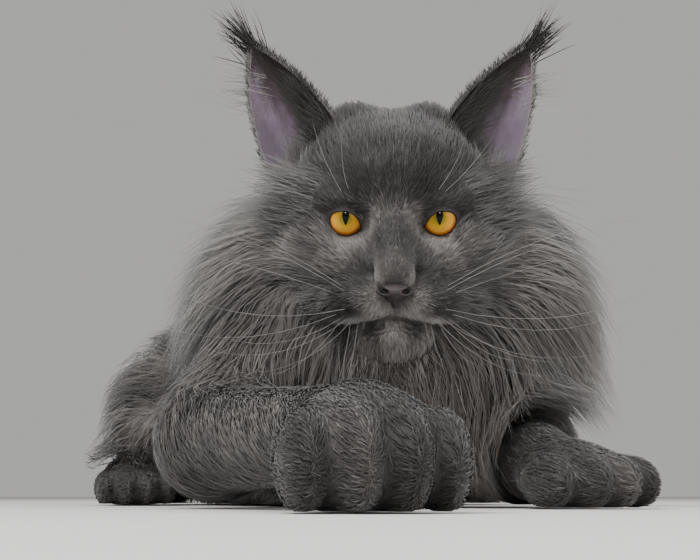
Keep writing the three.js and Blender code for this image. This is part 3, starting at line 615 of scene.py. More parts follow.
# Markings of the head, on both sides: place as side, forward, up, then length, width, lift and tone.
markings = {
    "bridge low": (0, 46, -21, 2.2, 0.5, 0.8, 0.2),
    "bridge": (0, 28, -5, 3.4, 0.55, 1.1, 0.12),
    "bridge side": (18, 20, -18, 4.5, 0.55, 1.3, 0.12),
    "brow spot": (21, 11, 23, 6.0, 0.6, 1.8, 0.0),
    "brow": (31, 7, 18, 6.5, 0.6, 2.0, 0.08),
    "upper lid": (27, 9, 11, 4.5, 0.55, 1.2, 0.2),
    "outer eye": (43, 1, 7, 9.0, 0.6, 2.5, 0.06),
    "past the eye": (52, -6, 4, 22.0, 0.65, 5.0, 0.4),
    "inner corner": (15, 16, 0, 3.6, 0.55, 1.1, 0.36),
    "under the eye": (23, 18, -11, 4.5, 0.55, 1.2, 0.5),
    "outer cheekbone": (37, 14, -11, 8.0, 0.6, 2.0, 0.28),
    "forehead": (0, 13, 32, 6.0, 0.6, 1.8, 0.07),
    "high forehead": (0, 0, 50, 10.0, 0.65, 2.6, 0.12),
    "crown": (0, -33, 60, 15.0, 0.65, 4.0, 0.18),
    "crown edge": (21, -42, 60, 13.0, 0.65, 4.0, 0.04),
    "beside the crown": (16, -30, 57, 14.0, 0.65, 4.0, 0.0),
    "ear root": (27, -50, 62, 13.0, 0.65, 4.0, 0.42),
    "above the temple": (44, -22, 38, 16.0, 0.65, 4.0, 0.06),
    "temple": (51, -20, 22, 28.0, 0.7, 8.0, 0.3),
    "ear foot": (60, -36, 14, 52.0, 0.7, 18.0, 0.5),
    "upper cheek": (56, -10, -6, 46.0, 0.7, 13.0, 0.5),
    "cheek": (53, 2, -20, 44.0, 0.7, 12.0, 0.42),
    "low cheek": (48, 4, -36, 40.0, 0.7, 10.0, 0.26),
    "pad top": (19, 35, -29, 3.6, 0.55, 1.1, 0.1),
    "pad": (24, 36, -38, 4.6, 0.55, 1.4, 0.0),
    "muzzle corner": (42, 14, -46, 24.0, 0.6, 8.0, 0.2),
    "pad outside": (40, 22, -38, 18.0, 0.6, 6.0, 0.24),
    "beside the nose": (15, 42, -24, 3.2, 0.5, 1.0, 0.3),
    "top of the nose": (5, 47, -19, 2.4, 0.5, 0.8, 0.24),
    "over the nostril": (10.5, 45.5, -25, 2.2, 0.45, 0.9, 0.6),
    "upper lip": (7, 43, -45, 5.0, 0.5, 1.6, 0.8),
    "lip": (20, 37, -49, 6.5, 0.55, 1.8, 0.85),
    "mouth": (11, 37, -53.5, 5.0, 0.5, 1.4, 0.14),
    "chin top": (0, 43, -55, 6.0, 0.5, 1.6, 0.5),
    "wide chin": (14, 35, -61, 9.0, 0.55, 2.4, 0.56),
    "chin": (0, 38, -62, 10.0, 0.6, 2.8, 0.62),
    "foot of the chin": (9, 34, -70, 11.0, 0.6, 3.2, 0.4),
    # Painted shadow: under the chin the tone falls to black.
    "shadow under the chin": (0, 26, -76, 15.0, 0.65, 4.0, 0.0),
    "chin side": (27, 14, -66, 14.0, 0.65, 4.0, 0.08),
    "jaw": (42, 0, -58, 46.0, 0.8, 10.0, 0.2),
    "nape": (0, -86, 20, 40.0, 0.9, 10.0, 0.4),
}
marks = np.array([(side * row[0], *row[1:]) for row in markings.values() for side in sides], float)


def headCoat(places):
    spots = inHead(places)
    far = ((spots[:, None, :] - marks[None, :, :3]) ** 2).sum(-1) + 4
    weight = far ** -2.2
    weight = weight / weight.sum(1, keepdims=True)
    return dict(zip(("length", "width", "lift", "tone"), (weight @ marks[:, 3:]).T))


# The coat at any place: the regions' values, shared out by how near each region is.
coatKeys = ("length", "width", "lift", "droop", "hug", "press", "clump", "curl", "jitter", "tone", "warm")


def nearness(places, reach):
    distances = np.stack([region["form"](places) + region["depth"] for region in regions], 1)
    weight = np.exp(-(distances - distances.min(1, keepdims=True)) / reach)
    return weight / weight.sum(1, keepdims=True)


def coatAt(places):
    share = nearness(places, 4)
    coat = {key: share @ np.array([region[key] for region in regions]) for key in coatKeys}
    onFace = share[:, -1]
    face = headCoat(places)
    for key, values in face.items():
        coat[key] = coat[key] * (1 - onFace) + values * onFace
    # Long hair of the head stands out freely, short hair keeps to the skin.
    free = onFace * rising(coat["length"], 14, 34)
    coat["press"] += (0.45 - coat["press"]) * free
    coat["hug"] += (0.2 - coat["hug"]) * free
    x, y, z = places.T
    # The ruff is silver beside the face, and browner and wavier low on the chest.
    ruffShare = share[:, 0]
    beside = np.exp(-((z - 165) / 55) ** 2) * rising(np.abs(x), 45, 75) * ruffShare
    chest = rising(z, 112, 67) * ruffShare
    # Low on the chest the tone is painted darker towards -x and lighter towards +x: painted shade on one side
    # and painted light on the other.
    coat["tone"] += 0.22 * beside - 0.1 * chest + 0.16 * chest * rising(x, -10, 50)
    coat["warm"] += 0.75 * chest * rising(x, -40, 20)
    coat["curl"] += 5 * chest
    coat["clump"] += 0.2 * chest
    # Low down and behind, the ruff hangs over the arms and the shoulders instead of standing out.
    hanging = rising(z, 128, 83) * ruffShare
    resting = np.maximum(hanging, rising(y, 10, 60) * ruffShare)
    coat["lift"] *= 1 - 0.75 * resting
    coat["press"] += (0.85 - coat["press"]) * resting
    coat["droop"] += 0.4 * hanging
    # Paws carry bands of silver that run across them, and the whole coat is lightly clouded.
    pawShare = share[:, [region["name"] == "paw" for region in regions]].sum(1)
    coat["tone"] += 0.16 * pawShare * np.maximum(np.sin(x * 0.11 + y * 0.05), 0)
    cloud = np.sin(x * 0.045 + 2 * np.sin(y * 0.03)) * np.sin(z * 0.05 + y * 0.021)
    coat["tone"] = np.clip(coat["tone"] + 0.05 * cloud * (1 - onFace), 0, 1)
    return coat


def flowAt(places):
    share = nearness(places, 5)
    total = np.zeros(places.shape)
    for i, region in enumerate(regions):
        near = share[:, i] > 0.02
        if near.any():
            total[near] += share[near, i:i + 1] * unit(region["flow"](places[near]))
    return total


# The skin: one surface under the whole coat, open at the eyes and finest on the face.
def spaced(*stretches):
    return np.unique(np.concatenate([np.arange(low, high + step / 2, step) for low, high, step in stretches]))


skinGrid = (
    spaced((-250, -66, 7), (-62, 62, 1.8), (66, 150, 4)),
    spaced((-326, -128, 4), (-124, -34, 1.8), (-30, 500, 7)),
    spaced((-6, 64, 4), (67, 79, 4), (82, 232, 1.8), (236, 250, 7)),
)
points, quads = surfaceNet(bodyForm, skinGrid)
points = settled(bodyForm, points, 2)
points[:, 2] = np.maximum(points[:, 2], floorGap)


eyeOutline = smoothLine([(a, b, 0) for a, b in eyeShape["opening"] + eyeShape["opening"][:1]], 49)[:-1, :2]


# Whether places lie in front of an eye, within the opening of its lids grown by so many millimetres.
def overEye(places, grow=0.0):
    side, forward, up = inHead(places).T
    across = np.abs(side) - eyeShape["apart"]
    middle = eyeOutline.mean(0)
    outline = middle + (eyeOutline - middle) * (1 + grow / 8)
    inside = np.zeros(len(places), bool)
    for (x0, y0), (x1, y1) in zip(outline, np.roll(outline, -1, 0)):
        reach = x0 + (up - y0) * (x1 - x0) / (y1 - y0 + 1e-12)
        inside ^= ((y0 > up) != (y1 > up)) & (across < reach)
    return inside & (forward > -6)


# The numbers of the points along the open edges of a surface.
def borderOf(quads):
    edges = np.stack([quads, np.roll(quads, -1, 1)], -1).reshape(-1, 2)
    edges, uses = np.unique(np.sort(edges, axis=1), axis=0, return_counts=True)
    return np.unique(edges[uses == 1])


# The edge of the skin follows the opening of the lids exactly, just under the lid.
quads = quads[~overEye(points[quads].mean(1), 0.6)]
border = borderOf(quads)
for side in sides:
    center = inHead(eyeAt(side))
    spots = inHead(points[border]) - center
    near = np.linalg.norm(spots, axis=1) < 22
    outline = eyeOutline + unit(eyeOutline - eyeOutline.mean(0)) * 0.35
    outline = outline * [side, 1] - center[[0, 2]] + [side * eyeShape["apart"], 0]
    gaps = ((spots[near][:, None, [0, 2]] - outline[None]) ** 2).sum(-1)
    rim = outline[np.argmin(gaps, 1)]
    ahead = np.sqrt(np.maximum((eyeShape["lid"] - 0.35) ** 2 - (rim ** 2).sum(1), 1))
    points[border[near]] = eyeAt(side) + np.stack([rim[:, 0], ahead, rim[:, 1]], 1) @ headAxes
used = np.unique(quads)
renumber = np.full(len(points), -1)
renumber[used] = np.arange(len(used))
points, quads = points[used], renumber[quads]
fleshNodes = ["head", "ruff", "trunk", "tail_base", "tail_middle", "tail_tip"]
for hand in hands.values():
    fleshNodes += [f"{part}_{hand}" for part in ("upper_arm", "forearm", "forepaw", "thigh", "hind_foot")]
skin = addPiece("skin", points, [quads], skinFinish, fleshNodes)


def unwrap(piece):
    bpy.ops.object.select_all(action="DESELECT")
    piece.select_set(True)
    bpy.context.view_layer.objects.active = piece
    bpy.ops.object.mode_set(mode="EDIT")
    bpy.ops.mesh.select_all(action="SELECT")
    bpy.ops.uv.smart_project(angle_limit=math.radians(66), island_margin=0.002)
    bpy.ops.object.mode_set(mode="OBJECT")
    piece.data.uv_layers[0].name = "OFBake"


unwrap(skin)
skinUv = np.empty(len(skin.data.loops) * 2, np.float32)
skin.data.uv_layers["OFBake"].data.foreach_get("uv", skinUv)
skinUv = skinUv.reshape(-1, 4, 2)
skinCoat = coatAt(points)
# Painted shade and painted light: the skin is painted a little darker than the coat's tone, near the dark of
# the tuft roots, and painted lighter under long hair to offset the shade of the deep coat.
skinTone = skinCoat["tone"] * 0.9 + 0.2 * rising(skinCoat["length"], 20, 60)
addValues(skin, tone=skinTone, warm=skinCoat["warm"], along=np.full(len(points), 0.1),
          strand=points * point(1.4, 0.5, 0.5))
print("skin ready,", len(quads), "faces")


# Ears: a leaf between an inner and an outer edge, bowed back to a rear ridge.
earShape = {
    "inner": [(24, -40, 36), (31, -44, 51), (45, -50, 69), (64, -56, 86), (81, -59, 97)],
    "outer": [(56, -31, 12), (73, -39, 25), (81, -47, 46), (85, -54, 72), (84, -59, 96)],
    "ridge": [(62, -88, 24), (64, -88, 44), (68, -82, 64), (76, -72, 84), (84, -61, 100)],
    "stations": 34,
    "across": 26,
    "thickness": 1.7,
}


def earSurface(side):
    rows = earShape["stations"] + 1
    edges = [smoothLine([onHead(side * x, f, u) for x, f, u in earShape[key]], rows)
             for key in ("inner", "ridge", "outer")]
    t = np.linspace(0, 1, earShape["across"] + 1)[None, :, None]
    inner, ridge, outer = [edge[:, None, :] for edge in edges]
    bow = inner * (1 - t) ** 2 + ridge * 2 * t * (1 - t) + outer * t ** 2
    s = np.linspace(0, 1, rows)[:, None]
    # A shallow fold runs up the outer half, and the rim is rolled a little forward.
    share = t[..., 0]
    fold = 2.2 * np.exp(-((share - 0.66) / 0.07) ** 2) * (1 - s)
    pouch = 4.0 * np.exp(-((share - 0.93) / 0.06) ** 2 - ((s - 0.14) / 0.09) ** 2)
    return bow + (fold - pouch)[..., None] * headForward


def earMaterial():
    material, add, calc = newMaterial("ear leather", Specular_IOR_Level=0.3, Roughness=0.62)
    place = add("Attribute", attribute_name="place").outputs["Vector"]
    across, risen, _ = add("SeparateXYZ", {0: place}).outputs
    cloud = add("TexNoise", {"Vector": place, "Scale": 7.0, "Detail": 5.0})
    high = add("MapRange", {0: risen, 1: 0.35, 2: 0.95, 3: 0.06, 4: -0.5})
    colour = rampOf(add, calc("MULTIPLY_ADD", cloud, 0.34, calc("ADD", across, high)), [
        (0.0, (0.020, 0.014, 0.014)), (0.40, (0.034, 0.024, 0.025)), (0.60, (0.085, 0.062, 0.074)),
        (0.84, (0.21, 0.165, 0.215)), (1.0, (0.15, 0.12, 0.155))])
    veins = add("TexNoise", {"Vector": place, "Scale": 26.0, "Detail": 4.0})
    return wear(material, Base_Color=colour,
                Normal=add("Bump", {"Height": veins, "Distance": 0.0006, "Strength": 0.6}))


earFinish = earMaterial()
ears = {}
for side, hand in hands.items():
    surface = earSurface(side)
    rows, columns = surface.shape[:2]
    tangents = np.gradient(surface, axis=1)
    rises = np.gradient(surface, axis=0)
    face = unit(np.cross(tangents, rises))
    face = np.where((face @ headForward)[..., None] < 0, -face, face)
    ears[side] = {"surface": surface, "face": face}
    t = np.linspace(0, 1, columns)
    rim = 0.25 + 0.75 * np.sin(np.pi * t) ** 0.4
    half = (earShape["thickness"] / 2) * rim[None, :, None] * np.ones((rows, 1, 1))
    half[-1] *= 0.4
    front = surface + face * half
    back = surface - face * half
    number = np.arange(rows * columns).reshape(rows, columns)
    behind = number + rows * columns
    border = np.concatenate([number[0, :-1], number[:-1, -1], number[-1, :0:-1], number[:0:-1, 0]])
    following = np.roll(border, -1)
    rimQuads = np.stack([following, border, border + behind[0, 0], following + behind[0, 0]], 1)
    faces = np.concatenate([gridQuads(number), gridQuads(behind.T), rimQuads])
    if side < 0:
        faces = faces[:, ::-1]
    ear = addPiece(f"ear_cup_{hand}", np.concatenate([front.reshape(-1, 3), back.reshape(-1, 3)]), [faces],
                   earFinish, [f"ear_{hand}"])
    across, risen = np.meshgrid(t, np.linspace(0, 1, rows))
    inward = np.stack([across, risen, 0 * across], -1).reshape(-1, 3)
    backward = inward * point(0.1, 1, 0) + point(0.1, 0, 1)
    addValues(ear, place=np.concatenate([inward, backward]))
print("ears ready")


# Eyes: amber, darker and greener round the pupil, with a slit that widens up under the lid.
def eyeMaterial():
    material, add, calc = newMaterial("eye", Roughness=0.5, Coat_Weight=0.3, Coat_Roughness=0.015,
                                      Specular_IOR_Level=0.0)
    gaze = add("Attribute", attribute_name="gaze").outputs["Vector"]
    x, y, _ = add("SeparateXYZ", {0: gaze}).outputs
    radius = calc("POWER", calc("ADD", calc("MULTIPLY", x, x), calc("MULTIPLY", y, y)), 0.5)
    fibres = add("TexNoise", {"Vector": gaze, "Scale": 1.6, "Detail": 6.0, "Roughness": 0.65})
    share = add("MapRange", {0: calc("MULTIPLY_ADD", fibres, 2.4, radius), 1: 1.0, 2: 11.5})
    iris = rampOf(add, share, [
        (0.0, (0.12, 0.12, 0.010)), (0.28, (0.30, 0.22, 0.012)), (0.48, (0.72, 0.38, 0.020)),
        (0.72, (1.0, 0.46, 0.060)), (0.86, (0.60, 0.17, 0.015)), (1.0, (0.02, 0.010, 0.006))])
    # The upper part lies in the shade of the lid.
    shade = add("MapRange", {0: y, 1: 6.5, 2: -4.5, 3: 0.08, 4: 1.0})
    shaded = add("VectorMath", {0: iris, "Scale": shade}, operation="SCALE")
    # The pupil: half its width falls off with the square of the height from its middle.
    high = calc("MULTIPLY", calc("ADD", y, -2.6), 1 / 6.4)
    half = calc("ADD", calc("MULTIPLY", calc("MULTIPLY", high, high), -2.0), 2.0)
    pupil = add("MapRange", {0: calc("SUBTRACT", half, calc("ABSOLUTE", x)), 1: -0.12, 2: 0.12})
    mixed = add("Mix", {0: pupil, 6: shaded, 7: (0.002, 0.002, 0.002, 1)}, data_type="RGBA")
    return wear(material, Base_Color=mixed.outputs[2])


def rimMaterial():
    material, add, calc = newMaterial("lid rim", Specular_IOR_Level=0.15)
    grain = add("TexNoise", {"Scale": 900.0, "Detail": 3.0})
    return wear(material, Roughness=add("MapRange", {0: grain, 3: 0.45, 4: 0.7}),
                Base_Color=rampOf(add, grain, [(0.3, (0.006, 0.005, 0.005)), (0.7, (0.022, 0.017, 0.017))]))


eyeFinish = eyeMaterial()
rimFinish = rimMaterial()
# Each band of the lid: how far it lies outside the opening and how high above the eyeball.
lidBands = ((-0.3, 0.0), (0.0, 0.4), (0.4, 0.6), (1.0, 0.5), (2.2, -0.1), (3.8, -1.4))
viewer = np.array(cameraSet["place"]) * 1000
for side, hand in hands.items():
    center = eyeAt(side)
    look = unit(viewer - center)
    right = unit(np.cross(look, upward))
    above = np.cross(right, look)
    rings, turns = 40, 56
    theta = np.linspace(0, np.pi, rings + 1)[1:-1, None, None]
    phi = np.linspace(0, 2 * np.pi, turns, endpoint=False)[None, :, None]
    radius = eyeShape["radius"]
    bulge = radius + 0.35 * np.maximum(0, np.cos(theta)) ** 6
    ring = np.sin(theta) * (np.cos(phi) * right + np.sin(phi) * above) + np.cos(theta) * look
    front, back = center + radius * look, center - radius * look
    ball = np.concatenate([[front], (center + bulge * ring).reshape(-1, 3), [back]])
    grid = 1 + np.arange((rings - 1) * turns).reshape(rings - 1, turns)
    grid = np.concatenate([grid, grid[:, :1]], 1)
    body = gridQuads(grid.T)
    capFront = np.stack([np.zeros(turns, int), grid[0, :-1], grid[0, 1:]], 1)
    capBack = np.stack([np.full(turns, len(ball) - 1), grid[-1, 1:], grid[-1, :-1]], 1)
    eye = addPiece(f"eyeball_{hand}", ball, [body, capFront, capBack], eyeFinish, [f"eye_{hand}"])
    spots = ball - center
    addValues(eye, gaze=np.stack([spots @ right, spots @ above, spots @ look], 1))

    # The lid: a band from the rim of the opening, on the eyeball, out under the coat.
    bands = []
    for grow, lift in lidBands:
        outline = eyeOutline + unit(eyeOutline - eyeOutline.mean(0)) * grow
        spot = np.array([onHead(side * (eyeShape["apart"] + a), 0, b) for a, b in outline]) - center
        flat = spot - (spot @ headForward)[:, None] * headForward
        reach = (radius + 0.2 + lift) ** 2 - (flat ** 2).sum(1)
        bands.append(center + flat + np.sqrt(np.maximum(reach, 1))[:, None] * headForward)
    number = np.arange(len(eyeOutline) * len(bands)).reshape(len(bands), -1)
    lid = gridQuads(np.concatenate([number, number[:, :1]], 1))
    if side > 0:
        lid = lid[:, ::-1]
    addPiece(f"lid_rim_{hand}", np.concatenate(bands), [lid], rimFinish)
print("eyes ready")


# Nose leather, with comma-shaped nostrils and a groove down the middle.
noseSkin = noseForm
for side in sides:
    noseSkin = carved(noseSkin, blend(1, *headParts("near nostrils", "far nostrils", only=[side])), 1.2)
noseSkin = carved(noseSkin, headParts("groove")[0], 1.2)
low, high = onHead(0, 40, -42), onHead(0, 54, -20)
noseStep = 0.45
noseGrid = (np.arange(-14, 14.1, noseStep), np.arange(high[1] - 8, low[1] + 6, noseStep),
            np.arange(low[2] - 8, high[2] + 8, noseStep))
nosePoints, noseQuads = surfaceNet(noseSkin, noseGrid)


def leatherMaterial():
    material, add, calc = newMaterial("nose leather", Specular_IOR_Level=0.45)
    pebbles = add("TexVoronoi", {"Vector": add("TexCoord").outputs["Object"], "Scale": 1500.0})
    colour = rampOf(add, pebbles, [(0.0, (0.052, 0.038, 0.040)), (0.6, (0.024, 0.017, 0.018))])
    depth = add("Attribute", attribute_name="depth").outputs["Fac"]
    # Painted shade: deeper into the nostrils and the groove, the leather's colour falls to near black.
    outside = add("MapRange", {0: depth, 1: 0.2, 2: 1.6, 3: 1.0, 4: 0.04})
    return wear(material, Base_Color=add("VectorMath", {0: colour, "Scale": outside}, operation="SCALE"),
                Roughness=add("MapRange", {0: pebbles, 3: 0.48, 4: 0.66}),
                Normal=add("Bump", {"Height": pebbles, "Distance": 0.0003, "Strength": 0.5}))


nosePiece = addPiece("nose_leather", nosePoints, [noseQuads], leatherMaterial(), ["nose"])
addValues(nosePiece, depth=-noseForm(nosePoints))
print("nose ready")


# Roots of the coat, scattered over the skin by how close the tufts stand.
corners = points[quads]
halves = ((0, 1, 2), (0, 2, 3))
normals = [np.cross(corners[:, j] - corners[:, i], corners[:, k] - corners[:, i]) for i, j, k in halves]
areas = np.stack([np.linalg.norm(normal, axis=1) for normal in normals], 1) / 2
middles = corners.mean(1)
regionNames = np.array([region["name"] for region in regions])
nearest = regionNames[np.argmax(nearness(middles, 4), 1)]


def scatter(chosen, spacing):
    wanted = np.where(chosen[:, None], areas / spacing ** 2, 0)
    count = np.floor(wanted + dice.random(wanted.shape)).astype(int)
    roots, maps = [], []
    for half, order in enumerate(halves):
        which = np.repeat(np.arange(len(quads)), count[:, half])
        u, v = dice.random((2, len(which)))
        flip = u + v > 1
        u, v = np.where(flip, 1 - u, u), np.where(flip, 1 - v, v)
        weights = np.stack([1 - u - v, u, v], 1)[..., None]
        roots.append((corners[which][:, order] * weights).sum(1))
        maps.append((skinUv[which][:, order] * weights).sum(1))
    return np.concatenate(roots), np.concatenate(maps)


def treeOf(places):
    tree = KDTree(len(places))
    for i, spot in enumerate(places):
        tree.insert(spot, i)
    tree.balance()
    return tree


earPoints = np.concatenate([ear["surface"].reshape(-1, 3) for ear in ears.values()])
earTree = treeOf(earPoints)
earBox = np.array([earPoints.min(0) - 4, earPoints.max(0) + 4])


def crossesEar(paths):
    hit = np.zeros(len(paths), bool)
    for k in range(1, paths.shape[1]):
        here = paths[:, k]
        for i in np.flatnonzero(((here > earBox[0]) & (here < earBox[1])).all(1) & ~hit):
            hit[i] = earTree.find(here[i])[2] < 1.8
    return hit


# The rings of a tuft: how far along it each one lies, with the tip last, and how wide it is there.
ringShares = {2: (0, 0.5, 1), 3: (0, 0.3, 0.65, 1), 7: (0, 0.14, 0.28, 0.42, 0.56, 0.7, 0.85, 1)}
ringWidths = {2: (0.8, 1.0), 3: (0.7, 1.0, 0.75), 7: (1.0, 0.95, 0.88, 0.8, 0.7, 0.58, 0.4)}
flatness = 0.35
# How hairs are combed: depths and heights in millimetres, the others as shares of a hair.
combing = {"root depth": 0.7, "above floor": 1.6, "sunk": -4, "kept where sunk": 0.35, "pace once sunk": 0.2,
           "rise": 1.7, "lock curve": 1.3, "wave turns": 5.5}


# Combs every tuft of a piece at once, from its root to its tip.
def comb(roots, coat, rings, clumpSize):
    shares = ringShares[rings]
    count = len(roots)
    _, steep = gradient(bodyForm, roots)
    outward = unit(steep)
    stray = dice.normal(0, 1, (count, 3)) * coat["jitter"][:, None]
    length = coat["length"] * dice.uniform(0.75, 1.2, count)
    lift = coat["lift"] * dice.uniform(0.6, 1.25, count)
    here = roots - outward * combing["root depth"]
    pace = np.ones(count)
    paths, outs = [here], [outward]
    for k in range(1, len(shares)):
        flow = unit(flowAt(here)) + stray
        flow[:, 2] -= coat["droop"] * shares[k]
        against = (flow * outward).sum(1, keepdims=True)
        pressed = np.where(against > 0, coat["press"][:, None], 1.0)
        along = unit(flow - outward * against * pressed)
        before = here
        here = here + along * (length * pace * (shares[k] - shares[k - 1]))[:, None]
        distance, steep = gradient(bodyForm, here)
        # A hair that runs into another part of the body ends there.
        sunk = distance < combing["sunk"]
        if sunk.any():
            here[sunk] = before[sunk] + (here[sunk] - before[sunk]) * combing["kept where sunk"]
            pace[sunk] = combing["pace once sunk"]
            distance[sunk], steep[sunk] = gradient(bodyForm, here[sunk])
        outward = unit(steep)
        push = lift * (1 - (1 - shares[k]) ** combing["rise"]) - distance
        push = np.where(push > 0, push, push * coat["hug"])
        here = here + outward * push[:, None]
        here[:, 2] = np.maximum(here[:, 2], combing["above floor"])
        paths.append(here)
        outs.append(outward)
    paths, outs = np.stack(paths, 1), np.stack(outs, 1)

    # Neighbours lean together into locks, and each lock has its own wave.
    lock = np.arange(count)
    if clumpSize:
        seedCount = max(8, int(count / clumpSize))
        seeds = dice.choice(count, seedCount, replace=False)
        tree = treeOf(paths[seeds, 0])
        lock = np.array([tree.find(root)[1] for root in paths[:, 0]])
        t = np.array(shares)[None, :, None]
        pull = (coat["clump"] * dice.uniform(0.6, 1.0, count))[:, None, None] * t ** combing["lock curve"]
        paths = paths + (paths[seeds][lock] - paths) * pull
        phase = dice.uniform(0, 6.28, seedCount)[lock]
        waves = np.sin(phase[:, None] + combing["wave turns"] * t[..., 0]) - np.sin(phase)[:, None]
        across = unit(np.cross(unit(paths[:, -1] - paths[:, 0]), outs[:, 0]))
        paths = paths + across[:, None, :] * (waves * coat["curl"][:, None])[..., None]
    paths[..., 2] = np.maximum(paths[..., 2], combing["above floor"])
    return paths, outs, lock


# One piece of tufts: each a closed, three-sided, tapered blade of hair along its path.
def tuftMesh(name, paths, outs, width, thickness, tone, warm, rootUv):
    count, stations = paths.shape[:2]
    rings = stations - 1
    tangents = unit(np.gradient(paths, axis=1))
    across = unit(np.cross(tangents, outs))
    over = unit(np.cross(across, tangents))[:, :-1]
    across = across[:, :-1]
    shape = np.array(ringWidths[rings])[None, :, None]
    half = across * width[:, None, None] * shape / 2
    rise = over * thickness[:, None, None] * shape
    low = paths[:, :-1] - rise * 0.3
    body = np.stack([low + half, low - half, low + rise], 2).reshape(count, rings * 3, 3)
    points = np.concatenate([body, paths[:, -1:]], 1)
    each = rings * 3 + 1
    faces = [(0, 2, 1)]
    for ring in range(rings):
        for i in range(3):
            j = (i + 1) % 3
            p, q = ring * 3 + i, ring * 3 + j
            if ring < rings - 1:
                faces += [(p, q + 3, p + 3), (p, q, q + 3)]
            else:
                faces.append((p, q, rings * 3))
    faces = (np.array(faces)[None] + (np.arange(count) * each)[:, None, None]).reshape(-1, 3)
    piece = addPiece(name, points.reshape(-1, 3), [faces], hairFinish)
    # Soft shading: every hair's surface leans towards the way out of the body.
    lean = np.stack([across * 0.8 - over * 0.3, -across * 0.8 - over * 0.3, over], 2)
    facing = (lean * 0.25 + outs[:, :-1, None] * 0.75).reshape(count, rings * 3, 3)
    facing = np.concatenate([facing, outs[:, -1:]], 1)
    piece.data.normals_split_custom_set_from_vertices(unit(facing).reshape(-1, 3))
    shares = np.append(np.repeat(ringShares[rings][:-1], 3), 1.0)
    sideways = np.append(np.tile([0.5, -0.5, 0.0], rings), 0.0)
    length = np.linalg.norm(np.diff(paths, axis=1), axis=-1).sum(1)
    # The noise of the hairs is read across and along each tuft, from a place of its own.
    strand = np.stack([
        sideways * width[:, None] * 3.4 + dice.uniform(0, 900, count)[:, None],
        shares * length[:, None] * 0.05,
        np.broadcast_to(dice.uniform(0, 900, count)[:, None], (count, each))], -1)
    addValues(piece, along=np.tile(shares, count), strand=strand.reshape(-1, 3),
              tone=np.repeat(tone, each), warm=np.repeat(warm, each))
    uv = rootUv[:, None, :] + np.stack([sideways * 0.003, shares * 0.003 - 0.0015], -1)
    layer = piece.data.uv_layers.new(name="OFBake")
    layer.data.foreach_set("uv", uv.reshape(-1, 2)[faces.ravel()].astype(np.float32).ravel())


mostTriangles = 199000


def growCoat(name, chosen, spacing, rings, clumpSize):
    roots, rootUv = scatter(chosen, spacing)
    clear = (noseForm(roots) > 0.6) & ~overEye(roots, 0.3)
    roots, rootUv = roots[clear], rootUv[clear]
    coat = coatAt(roots)
    paths, outs, lock = comb(roots, coat, rings, clumpSize)
    flat = paths.reshape(-1, 3)
    blocked = (overEye(flat, -0.1) | (noseForm(flat) < 0.2)).reshape(len(roots), -1).any(1)
    keep = np.flatnonzero(~(blocked | crossesEar(paths)))
    count = len(keep)
    lockTone = dice.normal(0, 0.05, lock[keep].max() + 1)[lock[keep]]
    tone = np.clip(coat["tone"][keep] + lockTone + dice.normal(0, 0.05, count), 0.0, 1.0)
    width = coat["width"][keep] * dice.uniform(0.7, 1.25, count)
    triangles = count * (6 * rings - 2)
    parts = math.ceil(triangles / mostTriangles)
    order = np.argsort(paths[keep, 0, 0], kind="stable")
    for i, chunk in enumerate(np.array_split(order, parts)):
        label = name if parts == 1 else f"{name}_{i + 1}"
        kept = keep[chunk]
        tuftMesh(label, paths[kept], outs[kept], width[chunk], width[chunk] * flatness, tone[chunk],
                 coat["warm"][kept], rootUv[kept])
    print(name, count, "tufts,", triangles, "triangles,", parts, "pieces")


# Each piece of the coat: where it grows, the gap between tufts in millimetres, rings, and tufts in a lock.
isHead = nearest == "head"
isFront = inHead(middles)[:, 1] > 0
growCoat("face_coat", isHead & isFront, 0.95, 2, 5)
growCoat("head_coat", isHead & ~isFront, 1.4, 3, 9)
growCoat("ruff_coat", nearest == "ruff", 1.38, 3, 24)
growCoat("body_coat", np.isin(nearest, ["trunk", "arm", "thigh"]), 3.6, 3, 12)
growCoat("leg_coat", nearest == "forearm", 1.9, 2, 8)
growCoat("paw_coat", np.isin(nearest, ["paw", "foot"]), 1.8, 2, 0)
growCoat("tail_coat", nearest == "tail", 2.7, 3, 12)


